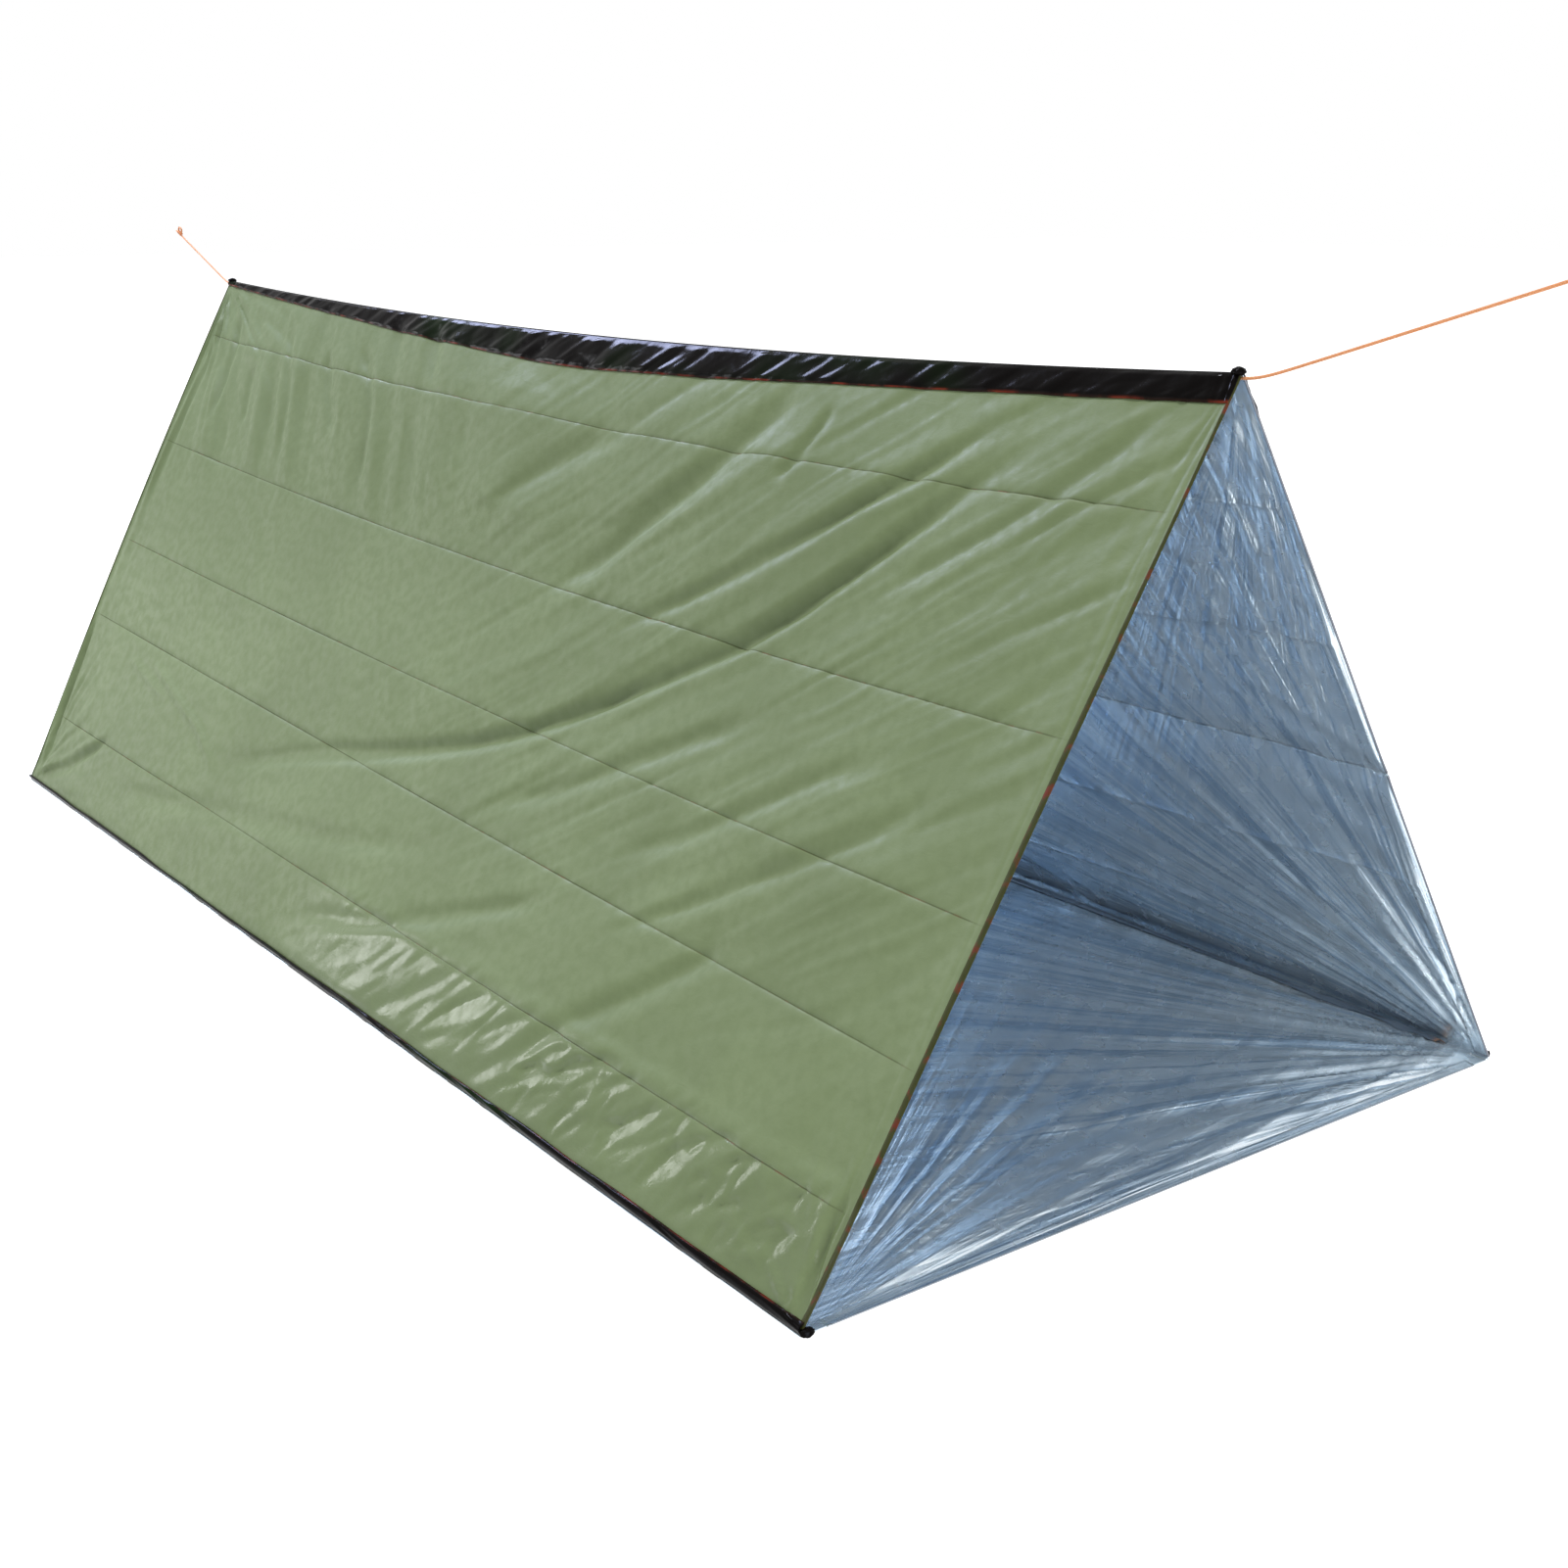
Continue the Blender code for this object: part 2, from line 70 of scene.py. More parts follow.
# Film
film = 0.0007
fold_softness = 0.0012
film_curl = 0.006
ridge_gap = 0.0009
crease_gap = 0.00005
floor_overlap = 0.0008
zigzag_depth = 0.0028
pinch_depth = 0.0028
pinch_width = 0.0045
glint_slopes = (0.18, 0.08)
glint_reach = 0.45
glint_swell = 0.0025
glint_margin = 0.00018
gloss_gain = 0.34
broad_share = 0.3
crease_rows = (0.0012, 0.003)
floor_fold_margin = 0.02
ridge_margin = 0.05
floor_margin = 0.03
floor_rest = 0.0005
fold_zone = 0.004
blend_low_run = -0.002
blend_run = 0.014

# Room that the folded tent leaves a film: shares of the distance from a fold, less a loss in metres
low_room_share = 0.115
low_room_loss = 0.001
high_room_share = 0.16
high_room_loss = 0.0075
crease_room_share = 0.15
floor_room_share = 0.05
room_softness = 0.0015

# Small facets scattered near the front, under the lowest crease: lowest and highest share of the length
# and of the run at their start, drift to the rear, drop, and half width
small_glint_count = 48
small_glint_limits = ((0.018, 0.24), (0.045, 0.128), (0.004, 0.026), (0.018, 0.05), (0.003, 0.011))

# Steps between the points of the grids
mouth_zone = 0.03
mouth_step = 0.0015
near_part = 0.9
left_step = 0.005
inside_step = 0.0044
far_step = 0.014
strip_step = 0.009
ridge_strip_step = 0.004

# Strips and hems
strip = 0.0006
strip_skin = 0.0013
strip_relief = 0.003
ridge_strip_low_share = 0.8
ridge_rim_width = 0.0026
ridge_rim_softness = 0.0008
edge_strip_front = 0.0108
edge_strip_rear = 0.006
edge_strip_bulge = 0.0022
edge_strip_foot = 0.0007
edge_strip_tuck = 0.0016
edge_strip_rest = 0.0003
edge_rim_strength = 0.8
inner_strip_width = 0.02
inner_strip_inset = 0.007
inner_strip_setback = 0.055
inner_strip_sway = 0.0016
inner_tip = 0.006
inner_tip_softness = 0.004
hidden_strip_inset = 0.01
hidden_strip_width = 0.016
hidden_strip_skin = 0.0008
hem_face = 0.0065
hem_top_share = 0.35
rear_hem_share = 0.4
rear_rim_share = 0.5
floor_hem_width = 0.012
hem_turn = 0.0009
hem_skin = 0.001
hem_width = 0.02
hem_border_share = 0.8
hem_film_share = 0.7
floor_hem_strip_share = 0.6
floor_hem_skin_share = 0.8
floor_rim_strength = 0.6
hem_rows = 110
floor_hem_columns = 240
wall_hem_start = 0.003
wall_hem_stop = 0.004
floor_hem_start = 0.03
corner_lump = (0.0085, 0.006, 0.0042)
corner_lump_place = (-0.5105, -1.2325, 0.0047)
apex_lump = (0.008, 0.007, 0.0042)
apex_lump_rise = 0.0008
apex_lump_inset = 0.0045
lump_swell = 0.28

# Worked out from the sizes above
front_y = -ridge_length / 2
rear_ridge_y = ridge_length / 2
rear_floor_y = rear_ridge_y - rear_lean
floor_length = ridge_length - rear_lean
wall_rise = ridge_height - fold_height
wall_run = math.hypot(floor_width / 2, wall_rise)
rise_share = wall_rise / wall_run
lean_share = floor_width / 2 / wall_run
crease_run = wall_run - floor_width / 2
upper_run = wall_run - crease_run

# The two bodies that share a wall's film, and the runs between which it passes from one to the other
left_shared = (("floor", "left_wall"), (blend_low_run, blend_run))
lower_shared = (("floor", "right_wall_lower"), (blend_low_run, blend_run))
upper_shared = (("right_wall_lower", "right_wall_upper"), (crease_run, crease_run + blend_run))

LEFT = -1
RIGHT = 1

# Packing creases of the left wall: share of the run at the front, at the rear, and the way folded
left_creases = (
    (0.117, 0.125, -1),
    (0.264, 0.322, 1),
    (0.415, 0.470, -1),
    (0.609, 0.670, 1),
    (0.850, 0.889, -1),
)
right_lower_creases = ((0.128, 0.128, -1), (0.304, 0.304, 1))
right_upper_creases = ((0.664, 0.664, 1), (0.837, 0.837, -1))

# Width of the ridge strip's near side at even steps from the front, in shares of the whole width
near_side_shares = (0.40, 0.41, 0.475, 0.59, 0.63, 0.54, 0.37, 0.23, 0.11)

# Broad folds of the left wall, as in the solids: route in thousandths of length and run, depth, half width
long_fold = ((40, 945), (146, 803), (238, 659), (329, 523), (421, 424), (512, 341), (695, 197), (817, 106))
left_broad_folds = (
    (long_fold, 0.012, 0.045),
    (((262, 920), (311, 833), (366, 742), (470, 629)), 0.0084, 0.039),
    (((380, 900), (463, 818), (512, 727)), 0.0078, 0.042),
    (((30, 560), (100, 450), (152, 273), (207, 167)), 0.0048, 0.036),
    (((244, 273), (360, 182), (463, 129), (604, 76)), 0.0036, 0.036),
    (((970, 40), (939, 61), (884, 129)), 0.0072, 0.03),
    (((40, 120), (35, 900)), 0.0036, 0.03),
)

# Sharp folds of the left wall, the same way
longest_sharp_fold = (
    (87, 913), (123, 854), (177, 742), (229, 646), (293, 559),
    (370, 463), (440, 391), (530, 323), (615, 269), (740, 170),
)
left_sharp_folds = (
    (longest_sharp_fold, 0.013, 0.013),
    (((28, 950), (62, 874), (87, 825), (123, 766), (158, 710)), 0.006, 0.013),
    (((123, 930), (155, 869), (190, 818), (229, 757), (293, 674), (363, 590)), 0.008, 0.012),
    (((260, 950), (290, 894), (338, 798), (366, 742), (392, 686), (440, 620)), 0.010, 0.021),
    (((235, 935), (248, 869), (262, 830)), 0.005, 0.010),
    (((420, 860), (479, 789), (517, 718), (530, 690)), 0.006, 0.022),
    (((205, 545), (248, 495), (286, 447), (357, 359), (402, 311)), 0.007, 0.014),
    (((100, 545), (142, 495), (174, 447), (209, 399), (270, 320)), 0.006, 0.014),
    (((58, 530), (87, 471), (123, 415), (199, 303), (240, 240)), 0.006, 0.013),
    (((150, 300), (190, 210), (229, 138), (270, 50)), 0.007, 0.015),
    (((293, 250), (357, 190), (424, 126), (537, 55)), 0.007, 0.014),
    (((412, 245), (469, 213), (537, 178), (690, 125), (860, 60)), 0.005, 0.017),
    (((872, 292), (801, 248), (759, 224), (710, 171)), -0.004, 0.006),
    (((910, 277), (860, 255), (824, 241)), -0.0032, 0.006),
    (((870, 945), (846, 875), (827, 795), (805, 670)), 0.005, 0.013),
    (((795, 910), (776, 843), (746, 763)), 0.005, 0.014),
    (((749, 930), (724, 875), (705, 805), (690, 690)), 0.005, 0.012),
    (((960, 940), (945, 830), (940, 710)), 0.005, 0.011),
    (((904, 848), (888, 736)), 0.004, 0.012),
)

# Folds that reach the mouths, the same way
mouth_folds = (
    (((986, 4), (936, 60), (891, 124), (880, 140)), 0.007, 0.009),
    (((984, 10), (992, 120), (996, 330)), 0.006, 0.007),
    (((4, 0), (9, 70), (10, 150)), 0.006, 0.007),
    (((986, 985), (989, 800), (991, 500)), -0.004, 0.008),
)

# Flat glossy facets under the lowest crease: both ends in shares of length and run, half width
glints = (
    ((0.405, 0.130), (0.524, 0.024), 0.010),
    ((0.296, 0.112), (0.344, 0.030), 0.013),
    ((0.278, 0.132), (0.311, 0.018), 0.005),
    ((0.253, 0.130), (0.293, 0.058), 0.005),
    ((0.184, 0.117), (0.258, 0.030), 0.007),
    ((0.136, 0.105), (0.170, 0.036), 0.012),
    ((0.115, 0.132), (0.139, 0.078), 0.006),
    ((0.101, 0.106), (0.131, 0.018), 0.014),
    ((0.072, 0.128), (0.092, 0.030), 0.005),
)

# Streaks of the silver film, bumps that also paint reflections into its colour: run of the corner they
# spread from, streaks for each radian, reach
silver_rays = (
    (0, 60, 1.2),
    (0, 15, 1.6),
    (-floor_width, 52, 1.0),
    (-floor_width, 13, 1.2),
    (wall_run, 58, 0.9),
)

# Camera, as solved from the photo: millimetres, metres and degrees
camera_lens = 46.63
camera_sensor = 36
camera_place = (-1.4954, -2.529, 1.0)
camera_dip = 16.33
camera_turn = -36.5

# Studio, and its lamps: place, aim, size, watts and colour
studio_half_width = 30
studio_floor_z = -0.0005
lamps = (
    ("key_lamp", (-2.9, 6.3, 14.7), (-0.2, 0, 0.4), 2.4, 1850, (1, 1, 1)),
    ("front_lamp", (-0.6, -4.6, 1.3), (0.1, -0.6, 0.2), 2.0, 100, (1, 1, 1)),
    ("glint_lamp", (-2.5, 4.7, 1.45), (-0.47, -0.37, 0.07), 1.4, 24, (1, 1, 1)),
    ("strip_lamp", (-0.05, 2.25, 2.25), (0, -0.6, 0.82), 0.8, 40, (0.62, 0.68, 1.0)),
)


def mix(a, b, t):
    return a + (b - a) * t


def smooth(t):
    t = np.clip(t, 0, 1)
    return t * t * (3 - 2 * t)


def lattice(ix, iy, seed):
    """A repeatable number from 0 to 1 for each whole-number place."""
    mixed = (ix * 374761393 + iy * 668265263 + seed * 362437) & 0x7FFFFFFF
    mixed = ((mixed ^ (mixed >> 13)) * 1274126177) & 0x7FFFFFFF
    return ((mixed ^ (mixed >> 16)) & 0xFFFF) / 0xFFFF


def noise(x, y, seed):
    """Smooth noise from 0 to 1, one bump for each unit of x and y."""
    x, y = np.broadcast_arrays(x, y)
    ix, iy = np.floor(x).astype(np.int64), np.floor(y).astype(np.int64)
    fx, fy = smooth(x - ix), smooth(y - iy)
    low = mix(lattice(ix, iy, seed), lattice(ix + 1, iy, seed), fx)
    high = mix(lattice(ix, iy + 1, seed), lattice(ix + 1, iy + 1, seed), fx)
    return mix(low, high, fy)


def ridged(x, y, seed):
    """Noise with sharp crests, from 0 to 1."""
    return 1 - np.abs(2 * noise(x, y, seed) - 1)


def facets(x, y, seed):
    """Flat triangles with sharp edges between them, from 0 to 1, as in crumpled film."""
    x, y = np.broadcast_arrays(x, y)
    x = x + 0.35 * (noise(x * 1.3, y * 1.3, seed + 7) - 0.5)
    y = y + 0.35 * (noise(x * 1.1, y * 1.4, seed + 8) - 0.5)
    ix, iy = np.floor(x).astype(np.int64), np.floor(y).astype(np.int64)
    fx, fy = x - ix, y - iy
    here, far = lattice(ix, iy, seed), lattice(ix + 1, iy + 1, seed)
    right, above = lattice(ix + 1, iy, seed), lattice(ix, iy + 1, seed)
    lower = here + (right - here) * fx + (far - right) * fy
    upper = here + (far - above) * fx + (above - here) * fy
    return np.where(fx > fy, lower, upper)


def turned(x, y, angle):
    """The two runs along and across a direction given as an angle in degrees from x."""
    turn = math.radians(angle)
    return x * math.cos(turn) + y * math.sin(turn), y * math.cos(turn) - x * math.sin(turn)


def scaled(runs, along, across):
    return runs[0] / along, runs[1] / across


def slanted_facets(x, y, angle, along, across, seed):
    return facets(*scaled(turned(x, y, angle), along, across), seed) - 0.5


def streaks(x, y, angle, along, across, seed):
    """Long sharp-crested wrinkles that run at an angle in degrees from x, along by across metres."""
    a, b = turned(x, y, angle)
    b = b + across * 0.8 * (noise(a / along * 1.7, b / across * 0.4, seed + 5) - 0.5)
    return ridged(a / along, b / across, seed) - 0.5


def fan(x, y, corner, reach, count, seed):
    """Pleats that spread from a corner and fade out at their reach, from about -0.5 to 0.5."""
    dx, dy = x - corner[0], y - corner[1]
    away = np.hypot(dx, dy)
    turn = np.arctan2(dy, dx)
    pleats = ridged(turn * count / math.pi, np.sqrt(away / reach) * 2.5, seed) - 0.5
    finer = ridged(turn * count * 1.7 / math.pi, np.sqrt(away / reach) * 4, seed + 3) - 0.5
    near = smooth(away / (0.12 * reach))
    return (pleats + 0.25 * finer) * near * smooth((reach - away) / (0.8 * reach))


def curve_route(route, steps=8):
    """More points on a smooth curve through a route's points."""
    knots = [np.array(point, float) for point in route]
    knots = [2 * knots[0] - knots[1], *knots, 2 * knots[-1] - knots[-2]]
    points = []
    for a, b, c, d in zip(knots, knots[1:], knots[2:], knots[3:]):
        for number in range(steps):
            t = number / steps
            bend = 2 * b + (c - a) * t + (2 * a - 5 * b + 4 * c - d) * t**2
            points.append((bend + (3 * b - a - 3 * c + d) * t**3) / 2)
    return np.array([*points, knots[-2]])


def groove(x, y, route, depth, width, crest_share=0.4):
    """A soft fold along a route that fades at both ends, with a crest beside it."""
    points = curve_route(route, 4)
    lengths = np.hypot(*(points[1:] - points[:-1]).T)
    total = lengths.sum()
    best = np.full(np.shape(x), np.inf)
    side = np.zeros(np.shape(x))
    place = np.zeros(np.shape(x))
    done = 0
    for start, stop, length in zip(points, points[1:], lengths):
        line = (stop - start) / length
        dx, dy = x - start[0], y - start[1]
        t = np.clip(dx * line[0] + dy * line[1], 0, length)
        away = np.hypot(dx - line[0] * t, dy - line[1] * t)
        closer = away < best
        best = np.where(closer, away, best)
        side = np.where(closer, np.sign(dx * line[1] - dy * line[0]), side)
        place = np.where(closer, (done + t) / total, place)
        done += length
    ends = smooth(place * 5 + 0.15) * smooth((1 - place) * 4)
    wide = width * (1 + (0.5 * noise(place * 6, 0.5, 11) - 0.25) * (crest_share > 0))
    valley = np.exp(-((best / wide) ** 2))
    crest = np.exp(-(((best * side - 1.9 * wide) / (1.1 * wide)) ** 2))
    return depth * ends * (valley - crest_share * crest)


def glint(x, s, start, stop, half_width):
    """A narrow flat facet, thinner at both ends, that faces up and to the rear, and where it lies."""
    line = np.subtract(stop, start) * (ridge_length, wall_run)
    length = np.hypot(*line)
    line = line / length
    dx, dy = x - start[0] * ridge_length, s - start[1] * wall_run
    t = np.clip((dx * line[0] + dy * line[1]) / length, 0, 1)
    across = dy * line[0] - dx * line[1]
    room = half_width * np.sqrt(4 * t * (1 - t)) + glint_margin
    ramp = np.clip(across + room, 0, 2 * room)
    slope = mix(*glint_slopes, start[0] / glint_reach)
    within = (t > 0) & (t < 1)
    height = slope * ramp * smooth((1.6 * room - across) / (0.6 * room)) * within
    return height, within & (np.abs(across) < room)


def fold_along(x, s, route, *shape):
    """A groove whose route is given in thousandths of length and run."""
    return groove(x, s, [(a / 1000 * ridge_length, b / 1000 * wall_run) for a, b in route], *shape)


def off_mouths(x, front, rear):
    """0 at both mouths and 1 from these distances inward."""
    return smooth(x / front) * smooth((ridge_length - x) / rear)


def off_folds(s):
    """0 at a wall's floor fold and at the ridge, and 1 between them."""
    return smooth(s / floor_fold_margin) * smooth((wall_run - s) / ridge_margin)


def small_glints():
    """Repeatable small facets in the form of the table above."""
    made = []
    for number in range(small_glint_count):
        u, v, drift, drop, half_width = (
            mix(*limits, lattice(number, column, 38)) for column, limits in enumerate(small_glint_limits)
        )
        made.append(((u, v), (u + drift, v - drop), half_width))
    return made


def within_room(into, room):
    """Keeps a film's way in below the room that the folded tent leaves it."""
    return into - room_softness * np.logaddexp(0, (into - room) / room_softness)


def along_tent(u, v):
    rear = mix(rear_floor_y, rear_ridge_y, v) + rear_edge_bow * 4 * v * (1 - v)
    return mix(front_y, rear, u)


def ridge_z(y):
    return ridge_height - ridge_sag * (1 - (2 * y / ridge_length) ** 2)


def point(x, y, z):
    return np.stack(np.broadcast_arrays(x, y, z), axis=-1).astype(float)


def soft_plus(s):
    return fold_softness * np.logaddexp(0, s / fold_softness)


def inward(side):
    return np.array((-side * rise_share, 0, -lean_share))


def wall_base(side, u, s):
    """Place on a wall's plane, before its wrinkles. Below the floor fold it turns onto the floor."""
    v = np.clip(s / wall_run, 0, 1)
    y = along_tent(u, v)
    fold = point(side * floor_width / 2, y, fold_height)
    ridge = point(0 * y, y, ridge_z(y))
    rise = soft_plus(s)[..., None]
    if side == LEFT:
        place = fold + (ridge - fold) * rise / wall_run
    else:
        slope = np.array((-lean_share, 0, rise_share))
        crease = fold + slope * crease_run
        above = (rise - crease_run) / upper_run
        place = np.where(above < 0, fold + slope * rise, crease + (ridge - crease) * above)
    return place + point(-side * soft_plus(-s), 0, 0)


def crease_lines(u, v, creases):
    """Zigzag and pinched crease lines of the packing folds."""
    lines = sorted(creases, key=lambda crease: crease[0])
    places = [np.zeros_like(u), *(mix(front, rear, u) for front, rear, _ in lines), np.ones_like(u)]
    ways = [0, *(way for _, _, way in lines), 0]
    offset = np.zeros_like(u)
    for low, high, a, b in zip(places, places[1:], ways, ways[1:]):
        t = np.clip((v - low) / (high - low), 0, 1)
        inside = (v > low) & (v <= high)
        offset = np.where(inside, mix(a, b, t) * zigzag_depth, offset)
    for place in places[1:-1]:
        away = np.abs(v - place) * wall_run / pinch_width
        strength = 0.35 + 0.65 * noise(u * 14, place * 3, 8)
        offset += pinch_depth * strength * np.exp(-away * 1.6)
    return offset


def left_inward(u, s):
    """How far the left wall's film lies into the tent."""
    v = s / wall_run
    x = u * ridge_length
    from_rear = ridge_length - x
    flat = np.clip(v, 0, 1)
    offset = left_wall_bulge * np.sin(math.pi * flat) ** bulge_power * np.sin(math.pi * np.clip(u, 0, 1))
    offset += crease_lines(u, flat, left_creases) * off_mouths(x, 0.15, 0.2)
    folds = 0
    for table, crest_share, part in ((left_broad_folds, 0, broad_share), (left_sharp_folds, 0.14, 1)):
        for route, depth, width in table:
            folds += fold_along(x, s, route, depth * part, width, crest_share)
    # long fine wrinkles that follow the main folds
    sweep = smooth((0.75 - u) / 0.5) * smooth((v - 0.1) / 0.3)
    folds += 0.0034 * sweep * streaks(x, s, -31, 0.34, 0.034, 21)
    folds += 0.0018 * sweep * streaks(x, s, -33, 0.16, 0.012, 22)
    # short wrinkles that hang from the ridge at the rear
    hang = smooth((u - 0.5) / 0.15) * smooth((v - 0.6) / 0.12)
    folds += 0.011 * hang * (noise(*scaled(turned(x, s, 66), 0.22, 0.04), 23) - 0.5)
    folds += 0.0016 * hang * (noise(*scaled(turned(x, s, 70), 0.08, 0.014), 24) - 0.5)
    middle = np.exp(-(((u - 0.5) / 0.09) ** 2)) * smooth((v - 0.62) / 0.15)
    folds += 0.012 * middle * (facets(x / 0.15, s / 0.08, 35) - 0.5)
    # broad soft undulation and a light crinkle everywhere
    folds += 0.006 * (noise(x / 0.33, s / 0.22, 25) - 0.5)
    folds += 0.0016 * (facets(x / 0.05, s / 0.04, 26) - 0.5)
    # glossy crinkles under the lowest crease, towards the front
    low = smooth((0.15 - v) / 0.02) * smooth((0.53 - u) / 0.08) * smooth(v / 0.01)
    folds = folds - glint_swell * low
    for start, stop, half_width in [*glints, *small_glints()]:
        height, own = glint(x, s, start, stop, half_width)
        folds += height
        low = low * ~own
    folds += 0.0035 * low * slanted_facets(x, s, -30, 0.12, 0.022, 27)
    folds += 0.0018 * low * slanted_facets(x, s, -48, 0.05, 0.012, 28)
    folds = folds * off_mouths(x, 0.05, 0.06)
    for route, depth, width in mouth_folds:
        folds += fold_along(x, s, route, depth, width) * off_mouths(x, 0.006, 0.004)
    # tension along the two mouths and pleats at the corners
    near = smooth(x / 0.008) * np.exp(-x / 0.03)
    folds += 0.003 * near * streaks(x, s, 90, 0.6, 0.011, 29)
    far = smooth(from_rear / 0.01) * np.exp(-from_rear / 0.05)
    folds += 0.005 * far * streaks(x, s, 88, 0.6, 0.018, 30)
    pleats = 0.002 * fan(x, s, (0, wall_run), 0.5, 40, 31)
    pleats += 0.008 * fan(x, s, (ridge_length, wall_run), 0.5, 30, 32)
    pleats += 0.004 * fan(x, s, (0, 0), 0.25, 30, 33)
    pleats += 0.007 * fan(x, s, (ridge_length, 0), 0.35, 26, 34)
    folds += pleats * off_mouths(x, 0.012, 0.012)
    into = offset * off_mouths(x, 0.006, 0.006) + folds * off_folds(s)
    room = np.maximum(low_room_share * s - low_room_loss, high_room_share * s - high_room_loss)
    return within_room(into, np.clip(room, 0, None))


def right_inward(u, s):
    """How far the right wall's film lies into the tent."""
    v = s / wall_run
    x = u * ridge_length
    flat = np.clip(v, 0, 1)
    lower = np.clip(s / crease_run, 0, 1)
    upper = np.clip((s - crease_run) / upper_run, 0, 1)
    belly = np.sin(math.pi * lower) ** bulge_power + np.sin(math.pi * upper) ** bulge_power
    offset = right_wall_bulge * belly * np.sin(math.pi * np.clip(u, 0, 1))
    middle = np.abs(s - crease_run)
    creases = crease_lines(u, flat, [*right_lower_creases, *right_upper_creases])
    offset += creases * smooth(middle / 0.03)
    folds = 0.008 * (noise(x / 0.3, s / 0.25, 41) - 0.5)
    folds += 0.0008 * (facets(x / 0.045, s / 0.035, 42) - 0.5)
    folds += 0.003 * smooth((v - 0.4) / 0.25) * streaks(x, s, 84, 0.14, 0.018, 43)
    folds += 0.003 * streaks(x, s, 30, 0.3, 0.04, 44)
    folds = folds * off_mouths(x, 0.04, 0.05)
    near = smooth(x / 0.006) * np.exp(-x / 0.03)
    folds += 0.002 * near * streaks(x, s, 90, 0.8, 0.009, 45)
    pleats = 0.0035 * fan(x, s, (0, wall_run), 0.55, 44, 46)
    pleats += 0.0065 * fan(x, s, (0, 0), 0.8, 52, 47)
    pleats += 0.006 * fan(x, s, (ridge_length, 0), 0.4, 30, 48)
    pleats += 0.006 * fan(x, s, (ridge_length, wall_run), 0.4, 30, 49)
    folds += pleats * off_mouths(x, 0.01, 0.01)
    into = offset * off_mouths(x, 0.006, 0.006) + folds * off_folds(s)
    return within_room(into, crease_room_share * middle)


def floor_lift(u, x):
    """Height of the floor's film above the ground, at length share u and X."""
    y = u * floor_length
    half = floor_width / 2
    across = half - np.abs(x)
    edges = smooth(across / floor_margin) * smooth((floor_length - y) / floor_margin)
    broad = 0.004 * noise(y / 0.25, x / 0.2, 61) + 0.0006 * facets(y / 0.06, x / 0.05, 62)
    front = np.exp(-y / 0.25)
    long = 0.003 * (0.5 + streaks(y, x, 82, 1.2, 0.026, 63))
    long += 0.002 * (0.5 + streaks(y, x, 78, 0.9, 0.016, 64))
    left_corner = fan(y, x, (0, -half), 1.0, 46, 65)
    right_corner = fan(y, x, (0, half), 1.0, 52, 66)
    pleats = 0.005 * np.clip(left_corner + 0.25, 0, 1) + 0.006 * np.clip(right_corner + 0.25, 0, 1)
    lift = broad * smooth(y / 0.08) + (long * front + pleats) * smooth(y / 0.035)
    return floor_rest + np.clip(lift * edges, 0, floor_room_share * np.abs(x + half))


def wall_surface(side, u, s, out=0.0):
    """Place on a wall's film. out is how far outside it, square to the wall."""
    into = left_inward(u, s) if side == LEFT else right_inward(u, s)
    into = into * smooth(s / fold_zone + 0.5)
    return wall_base(side, u, s) + inward(side) * (into - out)[..., None]


def crease_shade(u, s, creases):
    """Share of the dark rim colour along the packing creases: painted shade in the crease lines."""
    shade = np.zeros_like(s)
    for front, rear, _ in creases:
        away = np.abs(s - mix(front, rear, u) * wall_run)
        strength = 0.45 + 0.5 * noise(u * 17, front * 50, 9)
        shade = np.maximum(shade, (away < crease_rows[0] / 2) * strength)
    return shade * off_mouths(u * ridge_length, 0.05, 0.05)


def column_shares(near_step, far_step, length=ridge_length):
    """Length shares of a film's columns: fine at the mouths, then steps for the near and far parts."""
    edge = np.arange(0, mouth_zone, mouth_step)
    near = np.arange(mouth_zone, near_part, near_step)
    far = np.linspace(near_part, length - mouth_zone, round((length - near_part) / far_step))
    places = [edge, near, far[:-1], length - mouth_zone, length - edge[::-1]]
    return np.concatenate(places, axis=None) / length


def row_runs(u, creases, low, high, step):
    """Runs of a film's rows at each column, closer together near the creases."""
    lines = [np.full_like(u, low)]
    lines += [mix(front, rear, u) * wall_run for front, rear, _ in creases]
    lines.append(np.full_like(u, high))
    rows = [lines[0]]
    for number, (a, b) in enumerate(zip(lines, lines[1:])):
        beside = crease_rows if number else ()
        rows += [a + away for away in beside]
        start = a + (beside[-1] if beside else 0)
        beside = crease_rows[::-1] if number < len(creases) else ()
        stop = b - (beside[0] if beside else 0)
        count = max(round(float((stop - start).mean()) / step), 2)
        rows += [mix(start, stop, share) for share in np.linspace(0, 1, count + 1)[1:]]
        rows += [b - away for away in beside[1:]]
        rows.append(b)
    return np.array(rows)


def film_mesh(name, points, film_at, outward_turned):
    """A grid through the points that keeps each one's place on the flat film as an attribute."""
    if outward_turned:
        points, film_at = points[:, ::-1], film_at[:, ::-1]
    rows, columns = points.shape[:2]
    cage = bmesh.new()
    bmesh.ops.create_grid(cage, x_segments=columns - 1, y_segments=rows - 1, size=1)
    mesh = bpy.data.meshes.new(name)
    cage.to_mesh(mesh)
    cage.free()
    flat = np.empty(len(mesh.vertices) * 3)
    mesh.vertices.foreach_get("co", flat)
    flat = flat.reshape(-1, 3)
    column = np.rint((flat[:, 0] + 1) / 2 * (columns - 1)).astype(int)
    row = np.rint((flat[:, 1] + 1) / 2 * (rows - 1)).astype(int)
    mesh.vertices.foreach_set("co", points[row, column].ravel())
    held = mesh.attributes.new("film", "FLOAT_VECTOR", "POINT")
    held.data.foreach_set("vector", film_at[row, column].ravel().astype(np.float32))
    mesh.shade_smooth()
    return mesh


